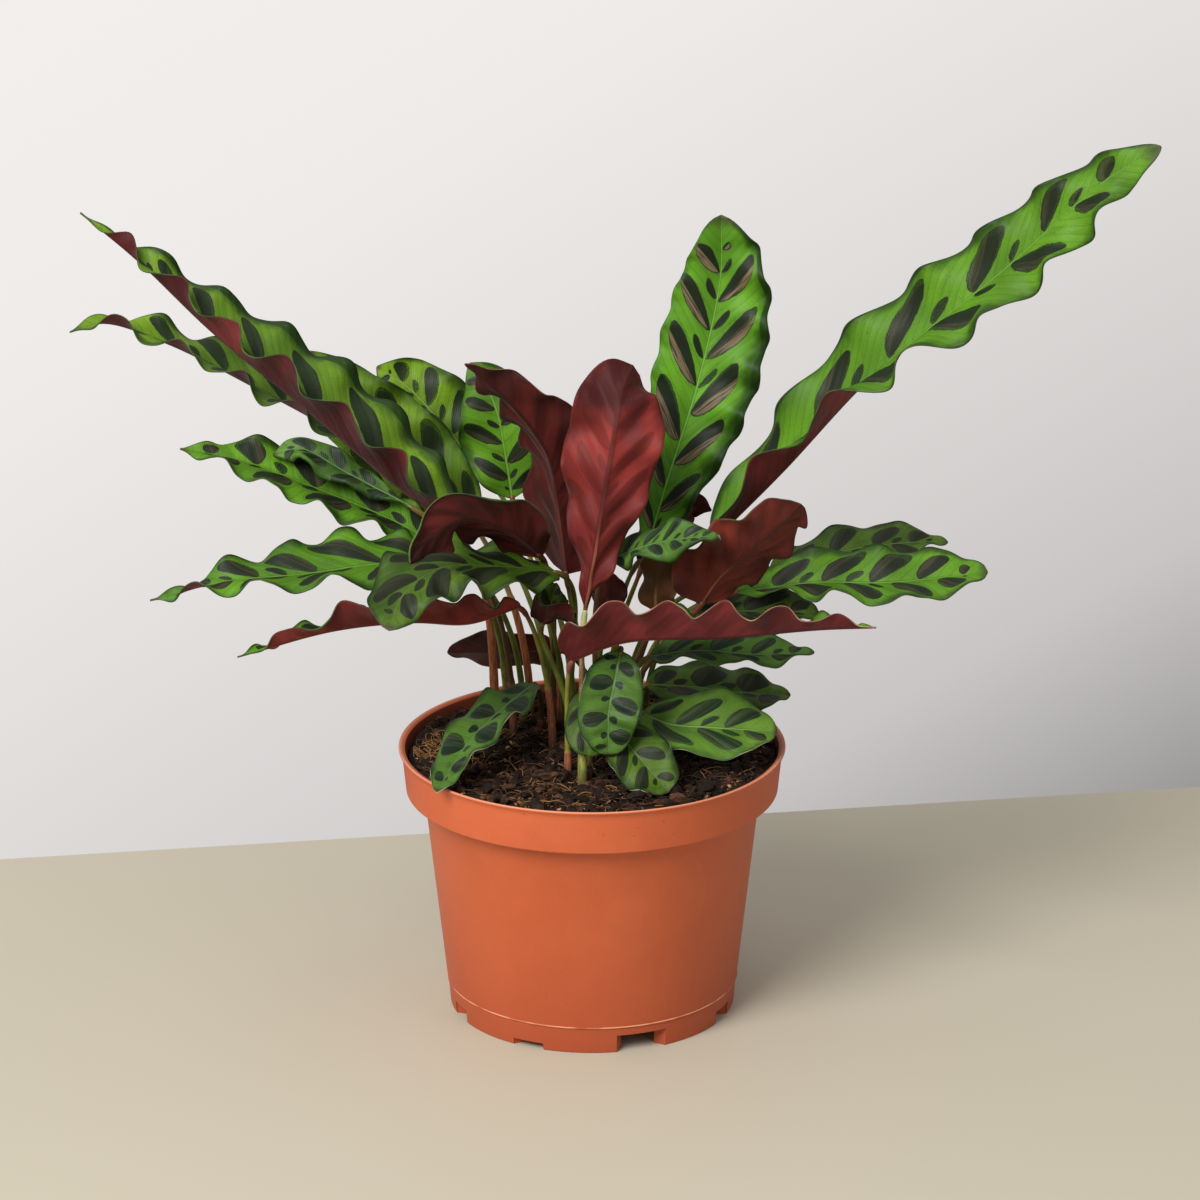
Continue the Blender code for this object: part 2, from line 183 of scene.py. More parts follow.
# %% Groups and materials
def new_group(name, takes, gives):
    """An empty node group, its inputs as fields by name, and its output sockets; takes says name: default."""
    group = bpy.data.node_groups.new(name, "ShaderNodeTree")
    for label, default in takes.items():
        group.interface.new_socket(label, in_out="INPUT", socket_type="NodeSocketFloat").default_value = default
    for label in gives:
        group.interface.new_socket(label, in_out="OUTPUT", socket_type="NodeSocketFloat")
    take = {socket.name: Field(socket) for socket in group.nodes.new("NodeGroupInput").outputs}
    return group, take, group.nodes.new("NodeGroupOutput").inputs


def place_group(group, **wires):
    """A node group with its named inputs fed; gives its outputs by name."""
    node = add_node("Group", wires, node_tree=group).socket.node
    return {socket.name: Field(socket) for socket in node.outputs}


def new_material(name, roughness, specular):
    """A material, its node tree, and the inputs of its shader."""
    material = bpy.data.materials.new(name)
    material.use_nodes = True
    shader = material.node_tree.nodes["Principled BSDF"].inputs
    shader["Roughness"].default_value = roughness
    shader["Specular IOR Level"].default_value = specular
    return material, material.node_tree, shader


print("groups and materials ready")

# %% [markdown]
# ## Where a colour sits on a leaf
#
# The markings follow the leaf and not the room, so the shaders need leaf coordinates. Each blade stores
# these numbers at its vertices: `along` is the distance from the neck, `across` the distance from the midrib
# with its sign, `reach` the blade's half width there, `share` how far along the blade the point is, `pitch`
# the distance from one dark mark to the next, which shrinks where the blade narrows, `count` how many marks
# lie between the neck and the point, `slant` how far towards the tip a vein goes for each step away from
# the midrib, `bold` how wide the marks are, and `seed` a number that differs from leaf to leaf. An image
# texture could do the same, but numbers on the mesh stay sharp at any size.

# %% [markdown]
# ## Side veins
#
# Fine veins leave the midrib and slant towards the tip. Shearing the blade's coordinates by `Slant` turns
# them into straight stripes, which a ping-pong wave draws as one line for each vein.

# %% Side vein group
veins, take, give = new_group(
    "side veins", {"Along": 0.0, "Across": 0.0, "Spacing": 1.2 * MM, "Slant": 1.2, "Waver": 0.0},
    ("Line", "Relief"))
sheared = take["Along"] - abs(take["Across"]) * take["Slant"] + take["Waver"] * take["Spacing"]
half_space = take["Spacing"] * 0.5
between = calc("PINGPONG", sheared, half_space) / half_space
feed(give["Line"], ease(between, 0.35, 0.0))
feed(give["Relief"], ease(between, 0.0, 1.0))
print("side vein group has", len(veins.nodes), "nodes")

# %% [markdown]
# ## Feather blotches
#
# The plant is named for its marks: long dark lens shapes that start in a point at the midrib, lean towards
# the tip and end in a round near the margin. Small ones stand halfway between them, and the left side is
# half a step behind the right. In sheared coordinates the marks are upright, one in each cell of a row. `u`
# runs along a mark from 0 to 1, its half width there goes as `u ** 0.7 * (1 - u) ** 0.42`, and the point is
# inside where that is more than `p`, its distance from the mark's middle line. A random number for each
# cell changes the size, and a little noise roughens the edge.

# %% Feather blotch group
LENS_POWERS = (0.7, 0.42)       # a mark opens slowly from the midrib and closes in a round
LENS_FULL = 2.09                # makes the widest place of that shape 1
MARK_START = 0.02               # share of the half width at which a mark starts
STRAY, END_STRAY, WIDTH_STRAY = 0.10, 0.24, 0.4     # how much the place, end and width of marks differ

blotches, take, give = new_group(
    "feather blotches",
    {"Count": 0.0, "Across": 0.0, "Reach": 0.02, "Share": 0.5, "Pitch": 0.02, "Slant": 1.2, "Bold": 1.0,
     "Seed": 0.0, "Ragged": 0.0, "Cloudy": 0.5},
    ("Mask", "Streak", "Core"))


def lens_row(take, shift, end, width, missing):
    """How far inside a row of marks a point is, and its place p in its cell, both as shares of the pitch."""
    side = calc("GREATER_THAN", take["Across"], 0.0)
    depth = abs(take["Across"])
    cells = take["Count"] - depth * take["Slant"] / take["Pitch"] + side * 0.5 + (take["Seed"] + shift)
    cell = calc("FLOOR", cells)
    wires = {"Vector": triple(cell, side, take["Seed"])}
    dice = add_node("TexWhiteNoise", wires, "Color", noise_dimensions="3D")
    throw = [part - 0.5 for part in split(dice, "Color")]
    p = cells - cell - 0.5 + throw[0] * STRAY
    u = ease(depth / take["Reach"], MARK_START, throw[1] * (end * END_STRAY) + end, "LINEAR")
    shape = u ** LENS_POWERS[0] * (1.0 - u) ** LENS_POWERS[1] * LENS_FULL
    wide = (throw[2] * (width * WIDTH_STRAY) + width) * take["Bold"]
    return shape * wide - abs(p) - calc("LESS_THAN", throw[1], missing - 0.5), p


long_ones, p = lens_row(take, shift=0.0, end=0.82, width=0.28, missing=0.0)
short_ones = lens_row(take, shift=0.5, end=0.30, width=0.12, missing=0.3)[0]
bare_ends = ease(take["Share"], 0.90, 0.99) + ease(take["Share"], 0.07, 0.02)
marks = calc("MAXIMUM", long_ones, short_ones) - bare_ends + take["Ragged"] * 0.06
in_long = ease(long_ones, 0.0, 0.05)
# The streak is a painted bronze sheen along one side of each long mark.
streak = ease(p, -0.03, -0.06) * ease(marks, 0.02, 0.045) * in_long
feed(give["Mask"], ease(marks, -0.002, 0.014))
feed(give["Streak"], streak * ease(take["Cloudy"], 0.36, 0.56))
feed(give["Core"], ease(abs(p), 0.03, 0.01) * in_long)
print("feather blotch group has", len(blotches.nodes), "nodes")

# %% [markdown]
# ## What both sides of a blade share
#
# Both sides read the same leaf coordinates and carry the same two sets of veins, a fine and a coarse one.
# The relief of the veins goes to the normal, so that the satin gloss breaks up along them.

# %% Fields of a blade
FINE_VEINS = 1.1 * MM
COARSE_VEINS = 5.5 * MM
MARK_INPUTS = ("count", "across", "reach", "share", "pitch", "slant", "bold", "seed")
LEAF_NUMBERS = ("along", *MARK_INPUTS)


def blade_fields(tree, drift_scale, drift_detail, grain_scale):
    leaf = SimpleNamespace(place=here(tree), **{name: attribute(tree, name) for name in LEAF_NUMBERS})
    leaf.depth = abs(leaf.across)
    leaf.edge = leaf.depth / leaf.reach
    leaf.drift = cloud(leaf.place, drift_scale, drift_detail)
    leaf.grain = cloud(leaf.place, grain_scale, 3, 0.6)
    leaf.fine, leaf.coarse = [place_group(veins, Along=leaf.along, Across=leaf.across, Spacing=spacing,
                                          Slant=leaf.slant, Waver=leaf.drift)
                              for spacing in (FINE_VEINS, COARSE_VEINS)]
    return leaf


def blade_marks(leaf, **more):
    return place_group(blotches, **{name.title(): getattr(leaf, name) for name in MARK_INPUTS}, **more)


def blade_relief(leaf, *steps):
    """The normal over coarse veins, fine veins and grain; each step is a height in mm and a strength."""
    normal = None
    for height, (distance, strength) in zip((leaf.coarse["Relief"], leaf.fine["Relief"], leaf.grain), steps):
        normal = bump(height, distance * MM, strength, normal)
    return normal


print("leaf coordinates:", LEAF_NUMBERS)

# %% [markdown]
# ## The upper side
#
# The blade is a fresh green that is never even: it is lighter between the veins, darker in a band along the
# margin, and pale on the midrib, with painted shade in the groove beside it. The blotches lie over the green,
# nearly black, and each carries a painted bronze sheen along one side. Each layer is one coat, a mask and
# its colour, laid on from the widest to the finest.

# %% Upper side material
WORN = (0.04, 0.034, 0.016)     # the dry brown of the very tip
UPPER_GLOSS = 0.48


def upper_side(name, light, deep, margin, mark, streak, bronze, lines=0.0):
    """The green skin; bronze is the strength of the painted sheen streaks, lines that of the pale veins."""
    material, tree, shader = new_material(name, UPPER_GLOSS, specular=0.22)
    leaf = blade_fields(tree, 28, 2, 900)
    fibres = triple(leaf.along - leaf.depth * leaf.slant, leaf.across * 0.12, leaf.seed)
    fibre = cloud(fibres, 800, 4, 0.65)
    marks = blade_marks(leaf, Ragged=cloud(leaf.place, 260) - 0.5, Cloudy=fibre)
    wander = (cloud(leaf.place, 55, 3) - 0.5) * 0.8
    band = calc("MAXIMUM", ease(leaf.edge + wander, 0.72, 1.02) * 0.85, ease(leaf.edge, 0.94, 0.985))
    width = leaf.depth / (1.0 - leaf.share * 0.7)
    green = painted(
        blend(ease(leaf.drift, 0.3, 0.7), deep, light),
        (ease(fibre, 0.45, 0.75) * 0.2, light),
        (ease(leaf.grain, 0.58, 0.3) * 0.3, deep),
        (leaf.fine["Line"] * 0.22, deep),
        (leaf.coarse["Line"] * 0.22, margin),
        (band, margin),
        (marks["Mask"], mark),
        # painted bronze sheen along one side of each mark
        (marks["Streak"] * bronze, streak),
        (calc("MAXIMUM", leaf.coarse["Line"], marks["Core"]) * lines, streak),
        # painted shade in the groove beside the midrib
        (ease(width, 1.5 * MM, 0.8 * MM) * 0.45, margin),       # the groove beside the midrib
        (ease(width, 0.75 * MM, 0.35 * MM) * 0.75, (light[0] * 1.3, light[1] * 1.1, light[2] * 3)),
        (ease(leaf.share, 0.955, 0.99) * 0.75, WORN))
    feed(shader["Base Color"], green)
    feed(shader["Roughness"], leaf.grain * 0.16 + (UPPER_GLOSS - 0.06))
    feed(shader["Normal"], blade_relief(leaf, (0.18, 0.5), (0.06, 0.6), (0.08, 0.7)))
    return material


MARK = (0.010, 0.017, 0.007)
# the colour of the painted sheen on the marks
BRONZE_SHEEN = (0.20, 0.145, 0.085)
# 'shaded' and 'dim' are darker copies of the green: painted shade for leaves that lie in shade.
UPPER = {key: upper_side(*values) for key, values in {
    "fresh": ("leaf green", (0.116, 0.292, 0.012), (0.056, 0.150, 0.008), (0.013, 0.038, 0.005),
              MARK, BRONZE_SHEEN, 0.14),
    "streaked": ("leaf streaked green", (0.138, 0.370, 0.017), (0.070, 0.210, 0.010), (0.014, 0.042, 0.005),
                 MARK, BRONZE_SHEEN, 0.9),
    "olive": ("leaf olive green", (0.180, 0.330, 0.013), (0.074, 0.158, 0.008), (0.016, 0.044, 0.005),
              (0.012, 0.026, 0.007), (0.10, 0.12, 0.05), 0.1),
    "shaded": ("leaf deep green", (0.096, 0.215, 0.026), (0.036, 0.090, 0.012), (0.013, 0.036, 0.009),
               (0.009, 0.020, 0.010), (0.12, 0.15, 0.08), 0.2, 0.1),
    "dim": ("leaf dim green", (0.080, 0.156, 0.011), (0.028, 0.062, 0.006), (0.012, 0.030, 0.005),
            (0.011, 0.016, 0.006), (0.09, 0.10, 0.05), 0.15),
    "pale": ("leaf pale green", (0.190, 0.360, 0.040), (0.070, 0.170, 0.016), (0.03, 0.09, 0.012),
             (0.012, 0.030, 0.010), (0.34, 0.40, 0.17), 0.12, 0.07),
}.items()}
print("upper sides:", list(UPPER))

# %% [markdown]
# ## The underside
#
# Underneath the blade is wine red. It is duller than the top, the veins stand out as fine ridges, the
# midrib is a pinker cord near the neck, and the marks of the top show through as slightly darker places.

# %% Underside and margin materials
def under_side(name, light, deep, rib, neck_shade=0.0):
    """The red skin; the last number is how much painted shade darkens it towards the neck."""
    material, tree, shader = new_material(name, roughness=0.5, specular=0.16)
    leaf = blade_fields(tree, 24, 3, 1100)
    rib_share = ease(leaf.share, 0.45, 0.2) * 0.7 + 0.06
    red = painted(
        blend(ease(leaf.drift, 0.36, 0.64), deep, light),
        # painted shade, darker towards the neck
        (ease(leaf.share, 0.85, 0.35) * neck_shade, deep),
        (leaf.fine["Line"] * 0.08, deep),
        (leaf.coarse["Line"] * 0.12, deep),
        (ease(leaf.grain, 0.55, 0.8) * 0.2, rib),
        (blade_marks(leaf)["Mask"] * 0.4, deep),
        (ease(leaf.edge, 0.75, 1.0) * 0.45, deep),
        (ease(leaf.depth, 1.7 * MM, 0.6 * MM) * 0.75, deep),
        (ease(leaf.depth, 0.80 * MM, 0.40 * MM) * rib_share, rib))
    feed(shader["Base Color"], red)
    feed(shader["Roughness"], leaf.grain * 0.2 + 0.44)
    shader["Sheen Weight"].default_value = 0.05
    shader["Sheen Roughness"].default_value = 0.5
    feed(shader["Normal"], blade_relief(leaf, (0.12, 0.6), (0.04, 0.7), (0.07, 0.6)))
    return material


# 'bright' and 'ruby' are lighter copies of the red, painted light for undersides in the lamp's light; 'dark' is
# a darker copy, painted shade for leaves inside the clump.
UNDER = {key: under_side(*values) for key, values in {
    "bright": ("leaf lit bright red", (0.33, 0.036, 0.029), (0.050, 0.006, 0.006), (0.30, 0.09, 0.05), 0.6),
    "ruby": ("leaf lit ruby red", (0.29, 0.040, 0.030), (0.105, 0.013, 0.012), (0.30, 0.08, 0.05)),
    "wine": ("leaf wine red", (0.165, 0.020, 0.020), (0.052, 0.006, 0.007), (0.26, 0.06, 0.04)),
    "dark": ("leaf shaded dark red", (0.100, 0.010, 0.009), (0.026, 0.004, 0.003), (0.15, 0.035, 0.022)),
    "bronzed": ("leaf bronzed red", (0.22, 0.034, 0.021), (0.078, 0.012, 0.008), (0.30, 0.10, 0.05)),
    "bronze": ("leaf bronze", (0.20, 0.10, 0.022), (0.09, 0.035, 0.010), (0.26, 0.14, 0.05)),
}.items()}


def margin_skin(name, dark, light):
    """The cut edge of the blade, between the two sides."""
    material, tree, shader = new_material(name, roughness=0.5, specular=0.3)
    place = here(tree)
    feed(shader["Base Color"], blend(ease(cloud(place, 120), 0.3, 0.7), dark, light))
    feed(shader["Normal"], bump(cloud(place, 1200), 0.04 * MM))
    return material


MARGINS = {
    "dark": margin_skin("leaf margin dark", (0.018, 0.035, 0.008), (0.06, 0.10, 0.02)),
    "tan": margin_skin("leaf margin tan", (0.14, 0.06, 0.035), (0.36, 0.22, 0.13)),
    "pale": margin_skin("leaf margin pale", (0.16, 0.22, 0.09), (0.42, 0.44, 0.28)),
}
print("undersides:", list(UNDER))

# %% [markdown]
# ## The shoots
#
# A leaf is drawn from a few points along its midrib, in millimetres, from the neck to the tip. With the half
# width, the way its upper side faces and how far in degrees its halves fold up, they say the whole blade.
# The last pair is the place of the stem's root. These are the same numbers as the plain solids have, so that
# each fine leaf lies in its solid. Whatever a leaf leaves out has the usual value given in `plan`.
#
# The looks stand beside them. The leaves in the light are a fresh green, and a few young or worn ones are
# paler. Leaves in shade inside the clump take darker copies of the green and the red, which are painted shade,
# and a few undersides that face the lamp take lighter reds, which are painted light. The long leaves have long
# slanting marks far apart, and the small low ones have short broad marks that stand out straighter.

# %% Table of shoots
def plan(midrib, half_width, faces, fold, root, **more):
    """One leaf and its stem. Lengths are in mm and angles in degrees."""
    usual = dict(
        tip_faces=faces, tip_fold=fold,                     # what the tip turns to
        peak=0.45, taper=0.8,                               # where the blade is widest, and how it narrows
        pitch=25, wave=4, phase=0, quicken=0, calm=0, skew=0,   # the margin's waves
        stem=1.5, rise=0.45, lead=0.2,                      # the stem's radius, and the pull of its two ends
        upper="fresh", under="wine", margin="dark",         # the skins
        marks=max(10, 0.95 * half_width), bold=1.0,         # distance between two dark marks, and their width
        slant=1.3, pleats=(0.2, 12), curl=0)    # lean of the veins, height and pitch of pleats, turned margin
    return SimpleNamespace(midrib=midrib, half_width=half_width, faces=faces, fold=fold, root=root,
                           **{**usual, **more})


SHOOTS = {
    "left_top": plan([(-59, 16, 208), (-82, 21, 224), (-120, 30, 255), (-161, 44, 286), (-193, 54, 315),
        (-217, 60, 334)], 27, (0.5, 0, 1), 40, (-42, 28), wave=4.5, peak=0.3, taper=1.2, pitch=31, skew=-0.12,
        stem=1.9, upper="olive", marks=33, bold=0.75),
    "left_second": plan([(-68, 45, 218), (-107, 50, 239), (-144, 59, 257), (-181, 64, 275), (-209, 66, 284),
        (-224, 66, 280)], 19, (0.2, -0.05, 1), 20, (-27, 50), peak=0.4, pitch=29, upper="olive", marks=28,
        bold=0.85, slant=1.1),
    "left_third": plan([(-63, 0, 204), (-82, 4, 214), (-118, 10, 228), (-148, 12, 239), (-173, 12, 244)], 18,
        (0.2, -0.35, 0.9), 16, (-30, 42), peak=0.45, taper=0.95, wave=3, under="dark", marks=27, bold=1.2,
        slant=0.6),
    "left_back": plan([(-49, 58, 199), (-75, 69, 219), (-101, 77, 242), (-123, 83, 267)], 21,
        (0.2, -0.95, 0.25), 12, (-18, 51), upper="olive", marks=27, slant=0.9),
    "left_small": plan([(-76, 4, 221), (-104, 9, 235), (-122, 12, 244), (-134, 14, 241)], 8, (0.1, -0.6, 0.8),
        15, (-37, 45), peak=0.6, wave=2, upper="shaded", under="dark", marks=16, bold=1.2, slant=0.8, curl=2,
        margin="pale"),
    "left_low": plan([(-57, -10, 200), (-86, -27, 206), (-119, -38, 205), (-152, -42, 203), (-182, -42, 195)],
        20, (0.1, -0.2, 0.95), 15, (-34, 25), peak=0.35, taper=1.3, marks=28, slant=1.5, pleats=(0.35, 14)),
    "left_folded": plan([(-30, -12, 182), (-51, -28, 180), (-74, -44, 186), (-105, -60, 188), (-143, -84, 185)],
        17, (0, 0.5, 0.87), 30, (-17, 11), peak=0.35, taper=1.1, lead=0.08, under="ruby", marks=24,
        pleats=(0.4, 14)),
    "left_shaded": plan([(-15, -17, 199), (-38, -31, 206), (-62, -45, 210), (-77, -63, 204), (-82, -77, 194)],
        22, (0, -0.25, 1), 2, (-10, 24), taper=0.6, upper="dim", under="dark", marks=27, bold=1.2, slant=1.3,
        pleats=(0.4, 12)),
    "back_left": plan([(-49, 80, 215), (-66, 86, 234), (-81, 91, 249), (-94, 94, 257)], 19, (0.2, -0.95, 0.25),
        8, (-9, 64), upper="olive", marks=17, slant=0.7),
    "centre_front": plan([(-3, -20, 182), (1, -24, 207), (5, -24, 234), (9, -20, 257), (13, -12, 279),
        (17, -4, 285)], 20.5, (0.1, 1, 0.2), 26, (-4, -36), tip_fold=8, peak=0.68, taper=0.55, stem=1.8,
        under="bright", pleats=(1.1, 19), slant=1.2),
    "centre_bent": plan([(-11, 8, 190), (-15, 5, 224), (-18, -2, 244), (-31, -11, 267), (-46, -18, 284),
        (-52, -20, 290)], 24, (0.5, 0.85, 0.15), 30, (-3, 33), peak=0.3, wave=3, upper="shaded", under="dark",
        pleats=(0.7, 16), margin="tan"),
    "centre_green": plan([(-34, 30, 217), (-37, 31, 237), (-40, 33, 253), (-45, 37, 265), (-52, 42, 273)], 18,
        (-0.1, -1, 0.3), 12, (-14, 45), marks=16, slant=0.7, pleats=(0.4, 10)),
    "front_curled": plan([(-22, -15, 206), (-36, -37, 224), (-52, -49, 232), (-66, -57, 226), (-74, -61, 217)],
        18, (0.1, 0.85, 0.5), 12, (-17, 33), wave=3, upper="pale", under="dark", curl=1.2, pleats=(0.9, 11)),
    "tall_upright": plan([(22, 14, 194), (31, 22, 224), (45, 32, 268), (54, 36, 312), (54, 32, 340)], 23,
        (-0.1, -1, 0.3), 12, (6, 39), peak=0.6, taper=0.6, pitch=20, calm=0.8, skew=-0.12, upper="streaked",
        marks=25, bold=1.15),
    "right_top": plan([(52, 6, 206), (80, 2, 237), (117, -10, 283), (166, -26, 330), (204, -42, 371),
        (226, -51, 388)], 22, (-0.5, -0.1, 0.85), 50, (16, 27), tip_faces=(-0.3, -0.9, 0.5), tip_fold=5,
        peak=0.4, taper=0.6, pitch=37, wave=5.5, phase=-16, quicken=0.38, stem=1.8, marks=45, bold=0.8,
        slant=1.5),
    "right_maroon": plan([(46, -8, 182), (53, -14, 195), (63, -20, 207), (78, -28, 224), (86, -30, 233)], 21,
        (-0.3, 0.85, 0.4), 12, (10, -2), peak=0.38, taper=0.5, wave=3, under="bronzed", pleats=(0.8, 13)),
    "centre_short": plan([(9, -8, 202), (22, -19, 211), (36, -31, 218), (52, -42, 223)], 11, (0, -0.6, 0.8), 12,
        (2, 12), wave=3, upper="shaded", under="dark", marks=12, slant=1.0, curl=2, pleats=(0.4, 8),
        margin="pale"),
    "right_bronze": plan([(27, 4, 174), (27, 2, 185), (30, 2, 196), (36, 4, 204)], 10, (0.5, 0.8, 0.2), 12,
        (10, 17), upper="shaded", under="bronze", margin="tan"),
    "right_middle": plan([(61, 4, 183), (94, 2, 188), (124, -4, 190), (166, -8, 196)], 17, (0, -0.42, 0.9), 30,
        (18, 22), rise=0.6, tip_fold=10, peak=0.55, taper=0.5, wave=3, marks=21, bold=1.1, slant=1.0),
    "right_back": plan([(76, 22, 187), (114, 28, 195), (140, 30, 197), (152, 30, 197)], 12, (0, -0.4, 0.85), 12,
        (15, 49), rise=0.6, taper=0.6, wave=3, upper="dim", under="dark", marks=18, bold=1.1, slant=0.9),
    "right_shaded": plan([(42, 14, 168), (58, 8, 173), (78, 6, 174), (96, 4, 174)], 14, (0, -0.6, 0.8), 12,
        (23, 37), taper=0.6, wave=3, upper="dim", under="dark", marks=20, bold=1.3),
    "front_folded": plan([(-9, -36, 166), (14, -46, 178), (52, -64, 186), (92, -82, 196), (114, -94, 201)], 22,
        (0, 0.4, 0.9), 34, (-10, -26), peak=0.25, taper=0.9, phase=130, lead=0.08, marks=26, pleats=(0.35, 16),
        margin="tan"),
    "right_low": plan([(24, -18, 162), (45, -22, 166), (70, -24, 165), (93, -24, 166)], 13, (0, -0.2, 0.97), 12,
        (15, -10), taper=0.6, wave=2, upper="shaded", under="dark", marks=18, slant=0.9),
    "right_rim": plan([(23, 9, 140), (44, 11, 138), (63, 13, 135), (85, 15, 133)], 14, (0.1, -0.4, 0.9), 10,
        (17, 8), taper=0.6, wave=2, upper="dim", under="dark", marks=20, bold=1.3, slant=0.6),
    "right_broad": plan([(21, -10, 134), (33, -16, 131), (50, -20, 131), (78, -22, 130)], 19, (0.1, -0.5, 0.86),
        10, (16, -19), peak=0.5, taper=0.6, wave=2, upper="pale", under="dark", marks=21, bold=1.15, slant=1.2,
        margin="pale"),
    "front_hanging": plan([(12, -28, 168), (9, -36, 155), (7, -40, 145), (7, -42, 127)], 13.5, (0, -1, 0.3), 12,
        (4, -6), peak=0.5, taper=0.5, wave=2, upper="shaded", under="dark", marks=15, bold=0.9, slant=0.2,
        pleats=(0.6, 7), margin="pale"),
    "front_drooping": plan([(10, -30, 134), (22, -42, 123), (32, -54, 115)], 13, (-0.2, -0.6, 0.75), 12,
        (7, -16), peak=0.5, taper=0.5, wave=2, upper="dim", under="dark", marks=14, bold=1.0, slant=0.9,
        margin="pale"),
    "left_hanging": plan([(-25, 12, 139), (-37, -8, 136), (-49, -28, 131), (-58, -46, 124), (-64, -62, 118)],
        12, (-0.3, -0.5, 0.8), 12, (-22, 30), peak=0.42, taper=0.6, wave=2.5, upper="shaded", under="dark",
        marks=26, bold=1.0, slant=0.2, margin="pale"),
    "back_oval": plan([(-13, 62, 137), (-36, 68, 134), (-54, 74, 132), (-64, 76, 131)], 11, (0, 0.9, 0.35), 12,
        (1, 62), wave=1.5, peak=0.5, taper=0.6, upper="shaded", under="dark"),
}
EXTRA_SHOOTS = {                # small leaves deep in the clump, which have no solid of their own
    "wavy_inner": plan([(-21, -8, 173), (-17, -14, 178), (-13, -19, 180), (-7, -22, 179)], 10, (0.1, 0.8, 0.6),
        20, (-8, 6), wave=2.5, upper="dim", under="dark", marks=12),
    "dark_inner": plan([(6, 10, 172), (7, 8, 183), (7, 6, 192)], 8, (0.2, 0.9, 0.2), 15, (1, 22), wave=1,
        upper="dim", under="dark", marks=12),
    "behind_hanging": plan([(6, -22, 151), (1, -31, 143), (-1, -35, 134), (3, -39, 126)], 11, (-0.2, -1, 0.3),
        10, (-1, -13), wave=1.5, peak=0.5, taper=0.6, upper="dim", under="dark", marks=12),
    "brown_inner": plan([(20, 28, 189), (34, 31, 204), (43, 33, 212), (51, 34, 210)], 10, (0.2, 0.9, 0.4), 15,
        (10, 44), wave=2, upper="dim", under="dark", marks=12),
    "green_inner": plan([(-17, 6, 171), (-17, 4, 180), (-15, 2, 188)], 8, (0, -0.9, 0.4), 15, (-12, 38), wave=1,
        upper="dim", under="dark", marks=12),
}
print(len(SHOOTS), "shoots and", len(EXTRA_SHOOTS), "small ones")

# %% [markdown]
# ## Smooth curves
#
# A blade or a stem bends gently through a few chosen points. A centripetal Catmull-Rom curve passes through
# every one of them without loops, which a Bezier would only do with handles set by hand.

# %% Curves
CURVE_STEPS = 24
PYRAMID = (((0, 1), (1, 2), (2, 3)), ((0, 2), (1, 3)), ((1, 2),))   # which knots each blend lies between


def unit(vector):
    vector = np.asarray(vector, float)
    return vector / np.linalg.norm(vector)


def directions(route):
    """The unit direction of travel at each point of a route."""
    steps = np.gradient(route, axis=0)
    return steps / np.linalg.norm(steps, axis=1)[:, None]


def smooth(x):
    x = np.clip(x, 0, 1)
    return x * x * (3 - 2 * x)


def through(points, count):
    """Points spaced evenly along a smooth curve through the given ones, and the curve's length."""
    knots = np.array(points, float)
    knots = np.vstack([2 * knots[0] - knots[1], knots, 2 * knots[-1] - knots[-2]])
    dense = []
    for four in zip(knots, knots[1:], knots[2:], knots[3:]):
        times = np.cumsum([0, *np.sqrt(np.linalg.norm(np.diff(four, axis=0), axis=1))])
        for t in np.linspace(times[1], times[2], CURVE_STEPS, endpoint=False):
            level = four
            for spans in PYRAMID:
                level = [((times[j] - t) * a + (t - times[i]) * b) / (times[j] - times[i])
                         for (i, j), a, b in zip(spans, level, level[1:])]
            dense.append(level[0])
    dense = np.array(dense + [knots[-2]])
    along = np.concatenate([[0], np.cumsum(np.linalg.norm(np.diff(dense, axis=0), axis=1))])
    even = np.linspace(0, along[-1], count)
    return np.column_stack([np.interp(even, along, dense[:, axis]) for axis in range(3)]), along[-1]


print("length of the left top midrib:", round(through(SHOOTS["left_top"].midrib, 2)[1]), "mm")

# %% [markdown]
# ## The blade
#
# A blade is a sheet, so it is made as a grid whose rows run from the neck to the tip. Every grid point is
# moved to its place by a formula: out from the midrib by the half width, up by the fold, and up and down by
# the margin's waves. The fine leaf adds what the plain solid leaves out: each half arches a little, pleats
# run along the veins, the waves differ in height, and the very edge has a small frill.

# %% Blade outline and frame
NECK_HALF_WIDTH = 1.0 * MM
TIP_HALF_WIDTH = 0.5 * MM
CURL_START = 0.8                # share of the half width beyond which a curled margin turns down
FRILL_HEIGHT = 0.35 * MM
ARCH = 0.05                     # height of each half's arch, as a share of the half width
TURN = 2 * math.pi


def blade_half_width(s, shoot):
    neck_power = shoot.taper * shoot.peak / (1 - shoot.peak)
    largest = shoot.peak ** neck_power * (1 - shoot.peak) ** shoot.taper
    shape = s ** neck_power * (1 - s) ** shoot.taper / largest
    ends = NECK_HALF_WIDTH * (1 - s) + TIP_HALF_WIDTH * s
    return np.maximum(shoot.half_width * MM * shape, ends)


def blade_frame(shoot, s):
    """Midrib points, the directions up and left at each, and the blade's length, in metres."""
    midrib, length = through(shoot.midrib, len(s))
    along = directions(midrib)
    turn = smooth(s)[:, None]
    faces = unit(shoot.faces) * (1 - turn) + unit(shoot.tip_faces) * turn
    up = faces - (faces * along).sum(axis=1)[:, None] * along
    up /= np.linalg.norm(up, axis=1)[:, None]
    return midrib * MM, up, np.cross(up, along), length * MM


print("widest blade:", 2 * max(shoot.half_width for shoot in SHOOTS.values()), "mm")

